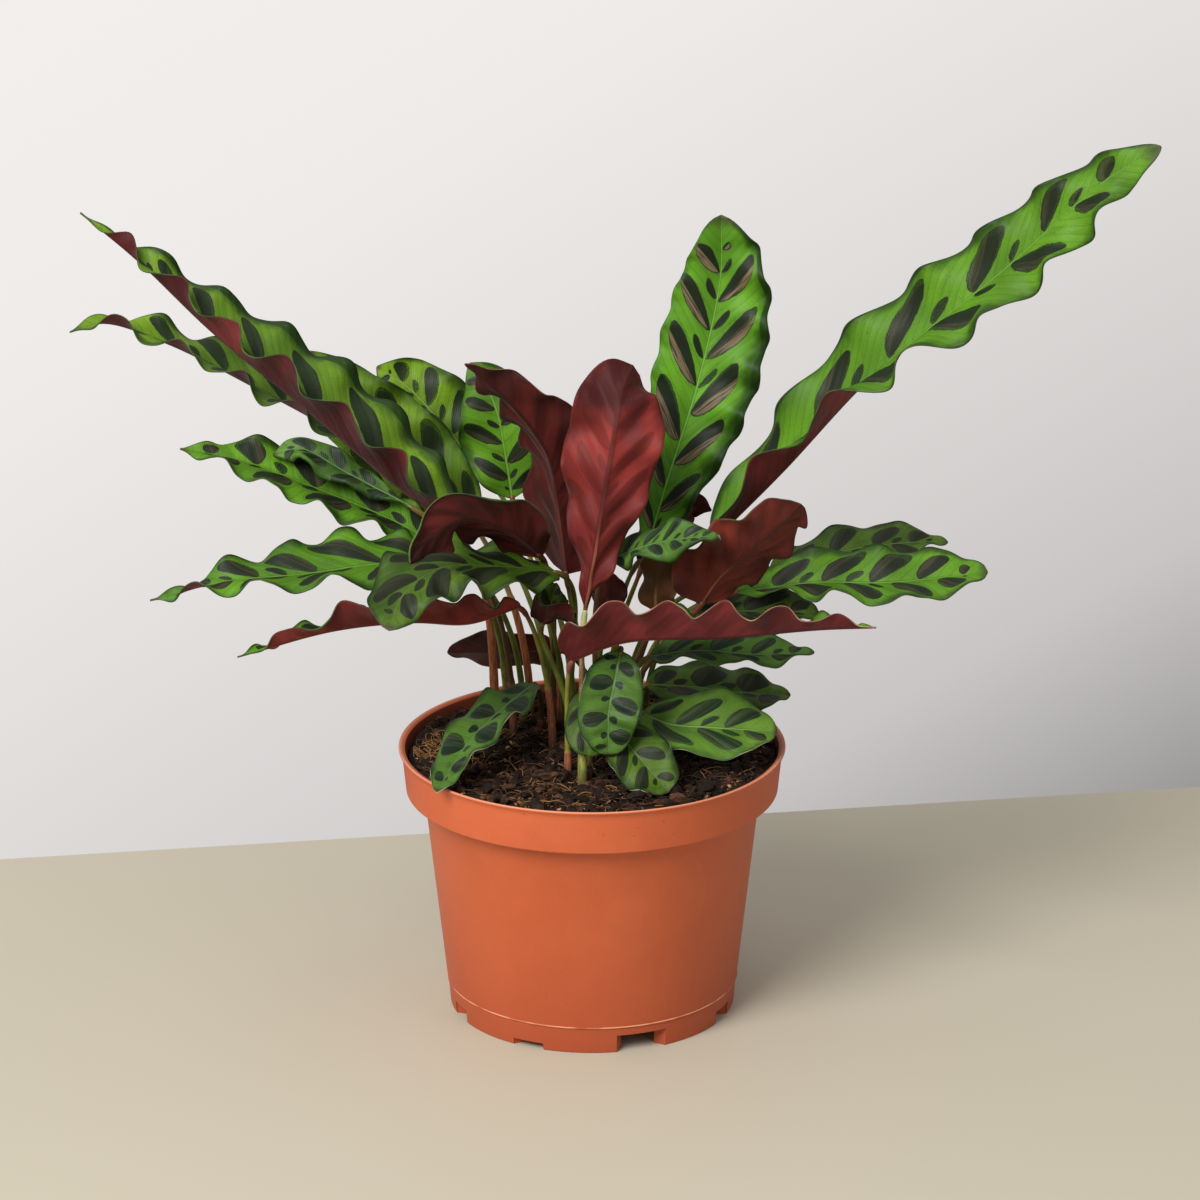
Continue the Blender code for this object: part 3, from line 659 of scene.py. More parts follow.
# %% Blade points
def blade_points(shoot, rows, columns, seed):
    """The blade's middle surface and the leaf coordinates of its points, each as rows by columns."""
    pleat, pleat_pitch = (value * MM for value in shoot.pleats)
    curl = shoot.curl * MM
    s = np.linspace(0, 1, rows)
    midrib, up, left, length = blade_frame(shoot, s)
    fold = np.radians(shoot.fold * (1 - smooth(s)) + shoot.tip_fold * smooth(s))
    waves = max(2, round(length / (shoot.pitch * MM)))
    ends = smooth(s / 0.15) * smooth((1 - s) / 0.12)
    height = shoot.wave * MM * ends
    reach = blade_half_width(s, shoot)
    beat = TURN * waves * (s - shoot.quicken * s * (1 - s))
    points = np.zeros((rows, columns, 3))
    across = np.zeros((rows, columns))
    for column, place in enumerate(np.linspace(-1, 1, columns)):
        side = 1 if place > 0 else -1
        share = abs(place)
        swing = beat + (math.radians(shoot.phase) + (0 if side > 0 else math.pi))
        uneven = 1 + 0.22 * np.sin(swing * 0.37 + seed * 5) + 0.12 * np.sin(swing * 0.81 + seed * 9 + side)
        out = reach * share * (1 + side * shoot.skew)
        slanted = (s * length - out * shoot.slant) / pleat_pitch + 0.25 * side
        strength = 1 - shoot.calm if side > 0 else 1
        wave = strength * height * share ** 2 * np.sin(swing) * uneven
        wave += FRILL_HEIGHT * ends * share ** 4 * np.sin(swing * 2.7 + seed * 7 + side)
        wave += pleat * ends * math.sin(math.pi * min(1, share * 1.1)) * np.sin(TURN * slanted)
        turned = max(0, (share - CURL_START) / (1 - CURL_START))
        wave -= curl * turned ** 2
        out = out - 0.6 * curl * turned ** 3
        wave += ARCH * reach * math.sin(math.pi * share)
        out = out * (1 + 0.04 * share * np.sin(swing + 0.9) * ends)
        sideways = out * np.cos(fold) - wave * np.sin(fold)
        upwards = out * np.sin(fold) + wave * np.cos(fold)
        points[:, column] = midrib + side * sideways[:, None] * left + upwards[:, None] * up
        across[:, column] = side * out
    pitch = shoot.marks * MM * (0.45 + 0.55 * reach / reach.max())
    by_row = dict(along=s * length, reach=reach, share=s, pitch=pitch,
                  count=np.cumsum(length / (rows - 1) / pitch), slant=shoot.slant, bold=shoot.bold, seed=seed)
    numbers = {key: np.broadcast_to(np.reshape(value, (-1, 1)), across.shape) for key, value in by_row.items()}
    return points, {**numbers, "across": across}


print("blade formula ready")

# %% [markdown]
# ## From points to a piece
#
# A grid of points becomes a mesh in one way for leaves, stems and peat, and the numbers that the shaders read
# go onto its vertices. A leaf's Solidify modifier then gives the sheet two skins, with the red material
# underneath and the pale one on the margin.

# %% Meshes and pieces
BLADE_THICKNESS = 0.45 * MM
ROW_SPACING = 1.3 * MM
BLADE_COLUMNS = 29


def mesh_from(bm, name):
    mesh = bpy.data.meshes.new(name)
    bm.to_mesh(mesh)
    bm.free()
    return mesh


def add_piece(name, data, materials, smooth_faces=True):
    piece = add_object(name, data)
    for material in materials:
        data.materials.append(material)
    if smooth_faces:
        data.shade_smooth()
    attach(piece, "root")
    return piece


def grid_mesh(name, points, numbers, closed=False):
    """A grid of quads over points given as rows by columns; closed joins the last column to the first."""
    rows, columns = points.shape[:2]
    bm = bmesh.new()
    bmesh.ops.create_grid(bm, x_segments=rows - 1, y_segments=columns - 1, size=0.5)
    layers = {key: bm.verts.layers.float.new(key) for key in numbers}
    for vert in bm.verts:
        row = round((vert.co.x + 0.5) * (rows - 1))
        column = round((vert.co.y + 0.5) * (columns - 1))
        vert.co = points[row, column]
        for key, layer in layers.items():
            vert[layer] = numbers[key][row, column]
    if closed:
        bmesh.ops.remove_doubles(bm, verts=bm.verts, dist=0.001 * MM)
    return mesh_from(bm, name)


def add_leaf(name, shoot, seed):
    length = through(shoot.midrib, 2)[1] * MM
    points, numbers = blade_points(shoot, int(length / ROW_SPACING) + 8, BLADE_COLUMNS, seed)
    skins = UPPER[shoot.upper], UNDER[shoot.under], MARGINS[shoot.margin]
    leaf = add_piece(name, grid_mesh(name, points, numbers), skins)
    skin = leaf.modifiers.new("two skins", "SOLIDIFY")
    skin.thickness = BLADE_THICKNESS
    skin.offset = 0
    skin.material_offset = 1
    skin.material_offset_rim = 2
    return leaf


print("rows in the longest blade:", int(through(SHOOTS["right_top"].midrib, 2)[1] * MM / ROW_SPACING) + 8)

# %% [markdown]
# One loop makes all the leaves. Each gets a seed of its own, so that no two have the same marks and waves.

# %% Leaves
for number, (name, shoot) in enumerate({**SHOOTS, **EXTRA_SHOOTS}.items()):
    leaf = add_leaf("blade_" + name, shoot, number * 0.37 % 1)
    if name in SHOOTS:
        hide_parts("leaf_" + name)
print("leaves made:", len(SHOOTS) + len(EXTRA_SHOOTS))

# %% [markdown]
# ## Stem skins
#
# A stem changes along its length. At the soil it is wrapped in a dry, pinkish brown sheath, above that it is
# smooth and green or olive, and just under the blade it swells into a short joint, which is red. The tube
# stores `rise`, which is 0 in the soil and 1 at the blade, and `sheath`, the rise at which its sheath ends.

# %% Stem materials
JOINT_START = 0.90              # rise at which the red joint under the blade begins
STEM_GLOSS = 0.42
STEM_FOOT_SHADE = (0.03, 0.015, 0.01)      # painted shade on a stem's foot near the peat


def stem_skin(name, sheath, middle, joint):
    material, tree, shader = new_material(name, STEM_GLOSS, specular=0.45)
    rise, place = attribute(tree, "rise"), here(tree)
    x, y, z = split(place)
    fibres = cloud(triple(x, y, z * 0.07), 1500, 3, 0.6)
    wrapped = ease(rise - attribute(tree, "sheath"), 0.006, -0.006)
    dry = blend(ease(fibres, 0.35, 0.65), [0.45 * part for part in sheath], sheath)
    feed(shader["Base Color"], painted(
        blend(ease(cloud(place, 90, 3), 0.3, 0.7), [0.6 * part for part in middle], middle),
        (ease(fibres, 0.45, 0.7) * 0.35, joint),
        (ease(rise, JOINT_START - 0.06, JOINT_START + 0.02), joint),
        (wrapped, dry),
        # painted shade on the foot of the stem, near the peat
        (ease(z, 120 * MM, 111 * MM) * 0.7, STEM_FOOT_SHADE)))
    feed(shader["Roughness"], wrapped * 0.22 + STEM_GLOSS)
    feed(shader["Normal"], bump(fibres, 0.12 * MM, 0.6))
    return material


STEM_SKINS = {key: stem_skin(*values) for key, values in {
    "olive": ("stem olive", (0.44, 0.15, 0.07), (0.26, 0.26, 0.04), (0.18, 0.05, 0.03)),
    "papery": ("stem papery sheath", (0.50, 0.16, 0.055), (0.34, 0.23, 0.07), (0.28, 0.14, 0.06)),
    "green": ("stem green", (0.26, 0.24, 0.05), (0.17, 0.23, 0.03), (0.14, 0.10, 0.02)),
    "dark": ("stem dark red", (0.30, 0.10, 0.05), (0.11, 0.06, 0.02), (0.13, 0.03, 0.02)),
    "pale": ("stem pale sheath", (0.36, 0.36, 0.07), (0.30, 0.16, 0.05), (0.50, 0.50, 0.20)),
}.items()}
print("stem skins:", list(STEM_SKINS))

# %% [markdown]
# ## Stems
#
# The stem follows the same curve as its plain rod. A curve with a bevel could draw it, but its colour has to
# know the height, so it is a grid closed into a tube whose points carry that number. The radius tapers, has
# a small step where the sheath ends, and swells at the joint.

# %% Stem route
SOIL_TOP = 111 * MM
POCKET_DEPTH = 8 * MM
GAP = 0.3 * MM
NECK_OVERLAP = 1.5              # mm that a stem runs into its blade


def stem_route(shoot, count):
    root = np.array([*shoot.root, (SOIL_TOP - POCKET_DEPTH + GAP) / MM])
    surface = np.array([*shoot.root, SOIL_TOP / MM + 1])
    neck = np.array(shoot.midrib[0], float)
    heading = unit(through(shoot.midrib, 20)[0][1] - neck)
    neck = neck + heading * NECK_OVERLAP
    reach = np.linalg.norm(neck - surface)
    low_handle = surface + np.array([0, 0, shoot.rise * reach])
    high_handle = neck - heading * (shoot.lead * reach)
    t = np.linspace(0, 1, count)[:, None]
    curve = ((1 - t) ** 3 * surface + 3 * (1 - t) ** 2 * t * low_handle
             + 3 * (1 - t) * t ** 2 * high_handle + t ** 3 * neck)
    return through(np.vstack([root, curve]), count)[0] * MM


print("stems start", round((SOIL_TOP - POCKET_DEPTH + GAP) / MM, 1), "mm above the table")

# %% Tube
def tube(name, route, radii, numbers, sides):
    """A tube round a route; its rings turn as little as they can from one to the next."""
    along = directions(route)
    first = unit(np.cross(along[0], (0.3, 1, 0.1)))
    points = np.zeros((len(route), sides + 1, 3))
    for row, (centre, direction) in enumerate(zip(route, along)):
        first = unit(first - direction * (first @ direction))
        second = np.cross(direction, first)
        for column in range(sides + 1):
            angle = TURN * column / sides
            points[row, column] = centre + radii[row] * (math.cos(angle) * first + math.sin(angle) * second)
    spread = {key: np.repeat(value[:, None], sides + 1, axis=1) for key, value in numbers.items()}
    mesh = grid_mesh(name, points, spread, closed=True)
    bm = bmesh.new()
    bm.from_mesh(mesh)
    bmesh.ops.holes_fill(bm, edges=[edge for edge in bm.edges if edge.is_boundary])
    bmesh.ops.recalc_face_normals(bm, faces=bm.faces)
    return mesh_from(bm, name)


print("tube ready")

# %% All the stems
STEM_TIP_RADIUS = 0.9 * MM
STEM_SIDES = 14
STEM_ROWS = 90
PLAIN_STEM = ("green", 0.25)    # skin, and the share of the stem that its sheath wraps
STEM_LOOKS = {
    "left_top": ("papery", 0.72), "left_second": ("papery", 0.5), "left_third": ("green", 0.2),
    "left_low": ("dark", 0.3), "left_folded": ("olive", 0.42), "back_left": ("green", 0.2),
    "centre_front": ("pale", 0.35), "centre_bent": ("olive", 0.3), "centre_green": ("olive", 0.35),
    "front_curled": ("dark", 0.2), "tall_upright": ("olive", 0.25), "right_maroon": ("dark", 0.25),
    "centre_short": ("dark", 0.2), "right_bronze": ("dark", 0.4), "front_folded": ("olive", 0.3),
    "right_middle": ("olive", 0.3), "right_top": ("dark", 0.3), "left_hanging": ("dark", 0.3),
    "back_oval": ("dark", 0.2),
}


def add_stem(name, shoot, skin, sheath):
    rise = np.linspace(0, 1, STEM_ROWS)
    root_radius = shoot.stem * MM
    radii = root_radius + (STEM_TIP_RADIUS - root_radius) * rise
    radii += 0.30 * MM * smooth((sheath - rise) / 0.012 + 0.5)          # the sheath's own thickness
    radii += 0.22 * MM * np.exp(-((rise - sheath) / 0.008) ** 2)        # its turned-out edge
    radii += 0.35 * MM * smooth((rise - JOINT_START) / 0.03) * (1 - smooth((rise - 0.97) / 0.03))
    radii *= 1 + 0.03 * np.sin(rise * 41 + len(name))
    numbers = dict(rise=rise, sheath=np.full(STEM_ROWS, sheath))
    mesh = tube("stalk_" + name, stem_route(shoot, STEM_ROWS), radii, numbers, STEM_SIDES)
    return add_piece("stalk_" + name, mesh, (STEM_SKINS[skin],))


for name, shoot in {**SHOOTS, **EXTRA_SHOOTS}.items():
    stalk = add_stem(name, shoot, *STEM_LOOKS.get(name, PLAIN_STEM))
    if name in SHOOTS:
        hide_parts("stem_" + name)
print("stems made:", len(SHOOTS) + len(EXTRA_SHOOTS))

# %% [markdown]
# ## Peat
#
# The pot is filled with coarse peat: a dark, uneven ground, with crumbs of bark on it and loose fibres of
# coir. One material serves them all: each piece carries a `tone`, from nearly black to cream, and a fine
# cloud of noise wanders round it. A piece without a tone, such as a fibre, takes its dark and middle colours.

# %% Peat materials
def peat_skin(name, dark, middle, light, roughness=0.95):
    """Dark, middle and light colours, chosen by the piece's tone and a fine cloud."""
    material, tree, shader = new_material(name, roughness, specular=0.2)
    place = here(tree)
    grain = cloud(place, 700, 4, 0.65)
    tone = attribute(tree, "tone") + (grain - 0.5) * 0.8
    feed(shader["Base Color"], painted(
        blend(ease(tone, 0.15, 0.6), dark, middle),
        (ease(tone, 0.6, 1.0), light),
        (ease(cloud(place, 160, 3), 0.6, 0.35), dark)))
    feed(shader["Roughness"], roughness - grain * 0.25)
    feed(shader["Normal"], bump(grain, 0.6 * MM, 0.8))
    return material


peat = peat_skin("peat", (0.008, 0.005, 0.003), (0.05, 0.023, 0.012), (0.20, 0.10, 0.045))
bark = peat_skin("bark crumbs", (0.014, 0.008, 0.005), (0.14, 0.062, 0.028), (0.50, 0.30, 0.15))
FIBRE_SKINS = {
    "tan": peat_skin("fibre tan", (0.30, 0.15, 0.055), (0.54, 0.32, 0.13), (0.70, 0.50, 0.26), 0.8),
    "brown": peat_skin("fibre brown", (0.10, 0.042, 0.020), (0.27, 0.12, 0.05), (0.42, 0.22, 0.10), 0.85),
    "dark": peat_skin("fibre dark", (0.02, 0.010, 0.007), (0.06, 0.027, 0.015), (0.10, 0.05, 0.03), 0.9),
}
print("peat materials:", 2 + len(FIBRE_SKINS))

# %% [markdown]
# The ground is a round grid lifted by noise of three sizes. It stands about five millimetres under the rim,
# a little higher in front and where it meets the pot.

# %% Peat ground
PEAT_RADIUS = 78 * MM
GROUND_ROWS = 90
GROUND_COLUMNS = 240
GROUND_TONE = 0.35


def polar(radius, angle):
    return radius * math.cos(angle), radius * math.sin(angle)


def ground_height(x, y):
    """Height of the peat at a place, in metres."""
    place = Vector((x, y, 0.3))
    lumps = noise.noise(place * 60) * 2.0 + noise.noise(place * 150) * 1.7 + noise.noise(place * 420) * 0.9
    rim = 1.2 * smooth((math.hypot(x, y) - 0.055) / 0.02)
    return SOIL_TOP + (0.6 + -y / PEAT_RADIUS + rim + lumps) * MM


ground = np.zeros((GROUND_ROWS, GROUND_COLUMNS + 1, 3))
for row, radius in enumerate(np.linspace(0.4 * MM, PEAT_RADIUS, GROUND_ROWS)):
    for column in range(GROUND_COLUMNS + 1):
        x, y = polar(radius, TURN * column / GROUND_COLUMNS)
        ground[row, column] = (x, y, ground_height(x, y))
ground_mesh = grid_mesh("peat_ground", ground, {"tone": np.full(ground.shape[:2], GROUND_TONE)}, closed=True)
peat_ground = add_piece("peat_ground", ground_mesh, (peat,))
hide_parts("soil")
print("ground vertices:", len(ground_mesh.vertices))

# %% [markdown]
# The crumbs are small uneven balls, all in one mesh, with a few pale grains and flat chips among them. They
# are strewn evenly over the ground. The seed of the random numbers is fixed, so that the pot is filled in the
# same way each time.

# %% One crumb
CRUMB_REACH = 76 * MM

dice = random.Random(7)


def place_on_ground(reach=CRUMB_REACH):
    angle = dice.uniform(-math.pi, math.pi)
    x, y = polar(reach * math.sqrt(dice.random()), angle)
    return x, y, ground_height(x, y)


def add_crumb(bm, layer, centre, size, stretch, tone):
    made = bmesh.ops.create_icosphere(bm, subdivisions=2 if size > 1.6 * MM else 1, radius=size)["verts"]
    turn = Vector((dice.gauss(0, 1), dice.gauss(0, 1), dice.gauss(0, 0.4))).normalized()
    shift = dice.uniform(0, 100)
    for vert in made:
        rough = 1 + 0.45 * noise.noise(vert.co / size * 1.3 + Vector((shift, 0, 0)))
        vert.co = (vert.co + turn * vert.co.dot(turn) * stretch) * rough
        vert.co.z *= 0.7
        vert.co += centre
        vert[layer] = tone


def add_block(bm, *size):
    """A block of a size round the origin; gives its corners."""
    corners = bmesh.ops.create_cube(bm, size=1)["verts"]
    bmesh.ops.scale(bm, vec=size, verts=corners)
    return corners


def turn_round(bm, verts, angle, axis="Z"):
    bmesh.ops.rotate(bm, matrix=Matrix.Rotation(angle, 3, axis), verts=verts)


print("crumbs lie within", CRUMB_REACH / MM, "mm of the axis")

# %% Bark crumbs
CRUMB_COUNT = 2400
PALE_COUNT = 40                 # grains of something pale, such as perlite
CHIP_COUNT = 40                 # flat chips of wood
CHIP_REACH = 72 * MM

bm = bmesh.new()
tone_layer = bm.verts.layers.float.new("tone")
for number in range(CRUMB_COUNT):
    x, y, z = place_on_ground()
    size = dice.choice((0.5, 0.7, 0.9, 1.3, 2.1)) * dice.uniform(0.7, 1.2) * MM
    stretch = dice.choice((0, 0.3, 0.8, 1.6))
    tone = dice.choice((0.05, 0.12, 0.2, 0.3, 0.45, 0.65, 0.95)) * (1 if size < 1.1 * MM else 0.5)
    add_crumb(bm, tone_layer, Vector((x, y, z + size * dice.uniform(0.1, 0.8))), size, stretch, tone)
for number in range(PALE_COUNT):
    x, y, z = place_on_ground()
    add_crumb(bm, tone_layer, Vector((x, y, z + 0.6 * MM)), size=0.75 * MM, stretch=0.2, tone=1.6)
for number in range(CHIP_COUNT):
    x, y, z = place_on_ground(CHIP_REACH)
    chip = add_block(bm, dice.uniform(2.5, 7) * MM, dice.uniform(0.5, 0.9) * MM, 0.35 * MM)
    for vert in chip:
        vert[tone_layer] = dice.choice((0.5, 0.8, 1.1))
    turn_round(bm, chip, dice.gauss(0, 0.3), "Y")
    turn_round(bm, chip, dice.uniform(0, math.pi))
    bmesh.ops.translate(bm, vec=(x, y, z + 1.1 * MM), verts=chip)
crumb_mesh = mesh_from(bm, "bark_crumbs")
add_piece("bark_crumbs", crumb_mesh, (bark,), smooth_faces=False)
print("crumbs:", CRUMB_COUNT, "faces:", len(crumb_mesh.polygons))

# %% [markdown]
# Each fibre starts on the ground, wanders, and rises and falls in a low arch. They are curves with a bevel,
# because a curve keeps hundreds of thin strands light. A tangle of light, curly ones lies by the rim at the
# left, where the filling was torn open.

# %% Coir fibres
FIBRE_KINDS = {"tan": (250, 0.20), "brown": (430, 0.21), "dark": (200, 0.26)}   # how many, radius in mm
FIBRE_STEP = 1.9 * MM
TURN_BACK = 1.4                 # radians that a fibre turns when it meets the wall
TANGLE = (-62 * MM, -4 * MM)    # where the tangle lies
TANGLE_SHARE = 0.3              # share of the tan fibres in it


def fibre_points(tangled):
    x, y, _ = place_on_ground(PEAT_RADIUS - 6 * MM)
    heading = dice.uniform(-math.pi, math.pi)
    bend = dice.gauss(0, 0.35)
    arch = dice.uniform(0.3, 3.2) * MM
    steps = dice.randint(5, 11)
    if tangled:
        x, y = TANGLE[0] + dice.gauss(0, 5) * MM, TANGLE[1] + dice.gauss(0, 9) * MM
        bend = dice.choice((-0.75, 0.75))
        arch = dice.uniform(1, 5) * MM
    points = []
    for step in range(steps):
        lift = arch * math.sin(math.pi * step / (steps - 1)) + 0.2 * MM
        points.append((x, y, ground_height(x, y) + lift, 1))
        heading += bend + dice.gauss(0, 0.25)
        x += FIBRE_STEP * math.cos(heading)
        y += FIBRE_STEP * math.sin(heading)
        reach = math.hypot(x, y)
        if reach > CRUMB_REACH:
            x, y = x * CRUMB_REACH / reach, y * CRUMB_REACH / reach
            heading += TURN_BACK
    return points


def add_fibres(kind, count, radius):
    data = bpy.data.curves.new("coir_fibres_" + kind, "CURVE")
    data.dimensions = "3D"
    data.bevel_depth = radius * MM
    data.bevel_resolution = 1
    data.use_fill_caps = True
    for number in range(count):
        points = fibre_points(kind == "tan" and number < TANGLE_SHARE * count)
        spline = data.splines.new("NURBS")
        spline.points.add(len(points) - 1)
        for knot, place in zip(spline.points, points):
            knot.co = place
            knot.radius = dice.uniform(0.6, 1.2)
        spline.use_endpoint_u = True
        spline.order_u = 3
        spline.resolution_u = 3
    add_piece("coir_fibres_" + kind, data, (FIBRE_SKINS[kind],), smooth_faces=False)


for kind, (count, radius) in FIBRE_KINDS.items():
    add_fibres(kind, count, radius)
print("fibres:", {kind: count for kind, (count, _) in FIBRE_KINDS.items()})

# %% [markdown]
# ## Terracotta-coloured plastic
#
# The pot is thin moulded plastic, the colour of fired clay. It is matt with a fine grain from the mould, a pale
# moulding seam, faint cloudy rubbing and a few specks of peat dust under the rim. A painted highlight lightens
# the top of the lip, painted shade darkens the inside of the rim, and the wall is painted darker towards the
# foot.

# %% Pot material
POT_HEIGHT = 117 * MM
SEAM_Z = 12 * MM
INNER_EDGE = 80.2 * MM          # radius that parts the lip's top into inside and outside
BAND_SLOPE = 0.0765             # how much wider the band gets for each step up

pot_skin, tree, shader = new_material("terracotta plastic", roughness=0.48, specular=0.32)
place = here(tree)
x, y, z = split(place)
grain = cloud(place, 1400, 2, 0.6)
rubbing = cloud(place, 16, 4, 0.6)
seam = ease(abs(z - SEAM_Z), 0.45 * MM, 0.2 * MM) * ease(cloud(place, 90, 3), 0.35, 0.6)
# The lip's top gets a painted highlight.
lip_highlight = ease(z, POT_HEIGHT - 0.6 * MM, POT_HEIGHT - 0.1 * MM)
below_lip = (POT_HEIGHT - z) * BAND_SLOPE
radius = calc("SQRT", x * x + y * y)
# The inside of the rim gets painted shade.
inner_wall_shade = ease(radius + below_lip, INNER_EDGE, INNER_EDGE - 0.6 * MM) * ease(z, 98 * MM, 100 * MM)
dust = ease(cloud(place, 520), 0.70, 0.76) * ease(z, 85 * MM, 112 * MM)
feed(shader["Base Color"], painted(
    blend(ease(rubbing, 0.35, 0.7), (0.53, 0.101, 0.033), (0.59, 0.123, 0.043)),
    (ease(grain, 0.3, 0.8) * 0.15, (0.64, 0.20, 0.09)),
    # painted shade, darker towards the foot
    (ease(z, 70 * MM, 0.0, "LINEAR") * 0.65, (0.30, 0.052, 0.018)),
    (seam * 0.7, (0.85, 0.42, 0.24)),
    (lip_highlight * 0.5, (0.86, 0.44, 0.27)),
    (inner_wall_shade * 0.75, (0.10, 0.028, 0.014)),
    (dust * 0.5, (0.10, 0.045, 0.02))))
feed(shader["Roughness"], rubbing * 0.16 + 0.42)
feed(shader["Normal"], bump(grain, 0.10 * MM, 0.5))
print("pot material has", len(tree.nodes), "nodes")

# %% [markdown]
# ## Pot
#
# A round pot is an outline turned about its axis. The outline goes up inside and down outside: the thin
# lip, the rim band with its sharp lower edge, the ledge under it, the tapered wall, a fine moulding line,
# and the foot skirt. Round stretches of the outline are short arcs. Boxes then cut the water notches into
# the foot, and small walls turn inwards beside each of them.

# %% Pot outline
WALL = 1.5
LIP_RADIUS, LIP_ROUND = 82.5, 0.6
BAND_RADIUS, BAND_FOOT_RADIUS = 81, 79.5
LEDGE_Z, EDGE_ROUND = 97.4, 0.8
BODY_TOP_RADIUS, SEAM_RADIUS, SEAM_ROUND = 72, 62.7, 0.28
FOOT_RADIUS = 61.4
FLOOR_TOP_Z = 13.4


def arc(radius, z, size, start, end, steps):
    """Points on an arc in the (radius, z) plane, from one angle in degrees to another."""
    turns = [polar(size, angle) for angle in np.radians(np.linspace(start, end, steps))]
    return [(radius + across, z + up) for across, up in turns]


top, seam_z = POT_HEIGHT / MM, SEAM_Z / MM
outline = [
    (0, FLOOR_TOP_Z), (SEAM_RADIUS - WALL - 2, FLOOR_TOP_Z), (SEAM_RADIUS - WALL, FLOOR_TOP_Z + 2),
    (BODY_TOP_RADIUS - WALL, LEDGE_Z + WALL), (BAND_FOOT_RADIUS - WALL, LEDGE_Z + WALL),
    (BAND_RADIUS - WALL, top - 1.6), (BAND_RADIUS - WALL + 0.3, top - 0.9),
    *arc(LIP_RADIUS - LIP_ROUND, top - LIP_ROUND, LIP_ROUND, 105, -50, 9),
    (BAND_RADIUS + 0.4, top - 2.2), (BAND_RADIUS + 0.1, top - 3.2), (BAND_RADIUS - 0.1, top - 4.5),
    *arc(BAND_FOOT_RADIUS - EDGE_ROUND, LEDGE_Z + EDGE_ROUND, EDGE_ROUND, 0, -90, 6),
    (BODY_TOP_RADIUS + 0.5, LEDGE_Z - 0.1), (BODY_TOP_RADIUS - 0.1, LEDGE_Z - 0.9),
    (SEAM_RADIUS + 0.05, seam_z + 0.5), *arc(SEAM_RADIUS, seam_z, SEAM_ROUND, 80, -80, 5),
    (SEAM_RADIUS - 0.35, seam_z - 0.6), (FOOT_RADIUS + 0.02, 0.5), (FOOT_RADIUS - 0.4, 0),
    (FOOT_RADIUS - 1.8, 0), (SEAM_RADIUS - 2.3, seam_z - 0.2), (0, seam_z - 0.2),
]
print("outline points, in mm:", len(outline))

# %% Pot body
POT_STEPS = 180
CHEEK = (5.5 * MM, 1.2 * MM)    # how deep and how thick the turned-in walls beside a notch are
CHEEK_TURN = math.radians(40)   # how far they turn towards each other
CHEEK_INSET = 0.9 * MM
SHARP = math.radians(35)
NOTCHES = (                     # direction in degrees, width and height in mm
    (-156, 12, 6), (-116, 14, 3), (-70, 22, 8), (-25, 12, 6), (24, 12, 6), (64, 14, 3), (110, 22, 8),
    (155, 12, 6),
)

bm = bmesh.new()
points = [bm.verts.new((radius * MM, 0, z * MM)) for radius, z in outline]
for pair in zip(points, points[1:]):
    bm.edges.new(pair)
rough_pot = add_object("rough_pot", mesh_from(bm, "rough_pot"))
screw = rough_pot.modifiers.new("turn", "SCREW")
screw.steps = screw.render_steps = POT_STEPS
screw.use_merge_vertices = True
screw.merge_threshold = 0.00001
cutters = []
for degrees, width, height in NOTCHES:
    bm = bmesh.new()
    add_block(bm, 8 * MM, width * MM, 2 * height * MM)
    cutter = add_object("notch", mesh_from(bm, "notch"))
    cutter.location = (*polar(FOOT_RADIUS * MM, math.radians(degrees)), 0)
    cutter.rotation_euler = (0, 0, math.radians(degrees))
    rough_pot.modifiers.new("notch", "BOOLEAN").object = cutter
    cutters.append(cutter)
bpy.context.view_layer.update()
solid = bpy.data.meshes.new_from_object(rough_pot.evaluated_get(bpy.context.evaluated_depsgraph_get()))
solid.name = "nursery_pot"
for helper in cutters + [rough_pot]:
    bpy.data.objects.remove(helper, do_unlink=True)
bm = bmesh.new()
bm.from_mesh(solid)
for degrees, width, height in NOTCHES:
    for side in (-1, 1):
        cheek = add_block(bm, *CHEEK, height * MM)
        bmesh.ops.translate(bm, vec=(-CHEEK[0] / 2, side * CHEEK[1] / 2, height * MM / 2), verts=cheek)
        turn_round(bm, cheek, side * CHEEK_TURN)
        bmesh.ops.translate(bm, vec=(FOOT_RADIUS * MM - CHEEK_INSET, side * width * MM / 2, 0), verts=cheek)
        turn_round(bm, cheek, math.radians(degrees))
bm.to_mesh(solid)
bm.free()
solid.materials.clear()
pot = add_piece("nursery_pot", solid, (pot_skin,))
solid.set_sharp_from_angle(angle=SHARP)
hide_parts("pot")
print("pot faces:", len(solid.polygons))

# %% [markdown]
# ## Table and light
#
# The plant stands on a beige table whose back edge runs a little askew, in front of a pale wall. The wall
# has no need of a surface: the world's colour does it, with painted light and shade that make it lighter at
# the upper left and darker towards the lower right. A very large soft lamp at the upper left in front models
# the leaves. The world fills the shadows, with a little help from a weak lamp on the right.

# %% Table
TABLE_CORNERS = ((-3, -3, 0), (3, -3, 0), (3, 0.698, 0), (-3, -0.291, 0))

bm = bmesh.new()
bm.faces.new([bm.verts.new(corner) for corner in TABLE_CORNERS])
floor_mesh = mesh_from(bm, "table_top")
floor = add_object("table_top", floor_mesh)
table_skin, tree, shader = new_material("beige table", roughness=0.6, specular=0.3)
feed(shader["Base Color"], blend(cloud(here(tree), 3, 3), (0.49, 0.450, 0.355), (0.53, 0.490, 0.390)))
floor_mesh.materials.append(table_skin)
print("table corners:", len(floor_mesh.vertices))
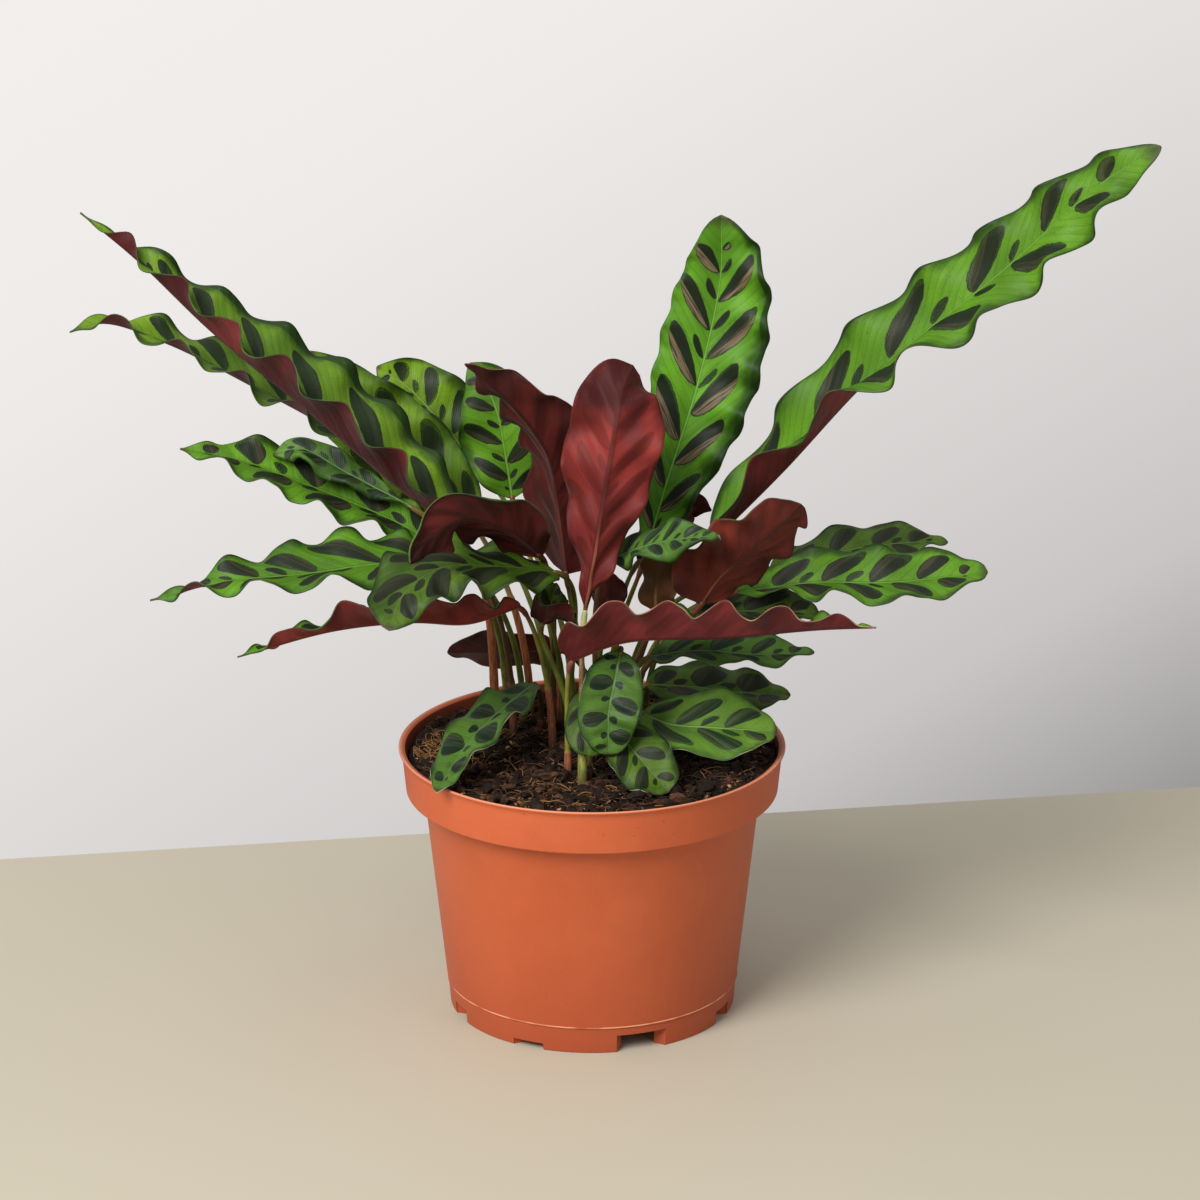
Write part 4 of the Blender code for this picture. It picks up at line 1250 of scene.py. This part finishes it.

# %% [markdown]
# The world has two jobs. What the camera sees of it is the wall, painted with light and shade along a ramp,
# lighter at the upper left and darker at the lower right. What lights the plant is a plain room: brighter
# above and on the left.

# %% Wall and room light
WALL_SIDE = 0.13                # how far to each side the wall's shade changes
WALL_SLOPES = (4.2, -0.135)     # how fast it changes to the right, and down
WALL_TOP, WALL_SPREAD = 0.2, 0.44
WALL_STOPS = ((0.0, 0.885), (0.22, 0.855), (0.44, 0.768), (0.66, 0.66), (0.80, 0.575), (1.0, 0.285))
WALL_TINT, ROOM_TINT = (1, 0.97, 0.955), (0.985, 0.97)
ROOM_LIGHT, ROOM_ABOVE, ROOM_LEFT = 0.085, 0.52, 0.25

world = bpy.data.worlds.new("pale room")
bpy.context.scene.world = world
world.use_nodes = True
tree = world.node_tree
sky = tree.nodes["Background"].inputs
x, _, z = split(here(tree, "Generated"))
sideways = calc("MAXIMUM", calc("MINIMUM", x, WALL_SIDE), -WALL_SIDE) * WALL_SLOPES[0]
downwards = (z + WALL_TOP) / WALL_SLOPES[1]
# The wall's colour is painted light and shade along a ramp.
painted_wall_shading = add_node("ValToRGB", {0: (sideways + downwards + 0.5) * WALL_SPREAD}, "Color")
elements = painted_wall_shading.socket.node.color_ramp.elements
for number, (position, value) in enumerate(WALL_STOPS):
    stop = elements[number] if number < 2 else elements.new(position)
    stop.position = position
    stop.color = (*(value * part for part in WALL_TINT), 1)
from_left = ease(x, 1.0, -1.0, "LINEAR")
room = ease(z, 0.0, 1.0, "LINEAR") * ROOM_ABOVE + from_left * ROOM_LEFT + ROOM_LIGHT
seen = add_node("LightPath", {}, "Is Camera Ray", tree)
feed(sky["Color"], blend(seen, triple(room, room * ROOM_TINT[0], room * ROOM_TINT[1]), painted_wall_shading))
sky["Strength"].default_value = 1.0
print("wall stops:", len(elements))

# %% Lamps
def add_lamp(name, place, target, size, power, colour=(1, 1, 1)):
    data = bpy.data.lights.new(name, "AREA")
    data.shape = "DISK"
    data.size = size
    data.energy = power
    data.color = colour
    lamp = add_object(name, data)
    lamp.location = place
    lamp.rotation_euler = (Vector(target) - Vector(place)).to_track_quat("-Z", "Y").to_euler()


add_lamp("key", (-1.08, -1.53, 1.65), (0, 0, 0.2), size=1.3, power=62, colour=(1.0, 0.98, 0.95))
add_lamp("fill", (1.6, -1.4, 1.2), (0, 0, 0.15), size=1.6, power=4)
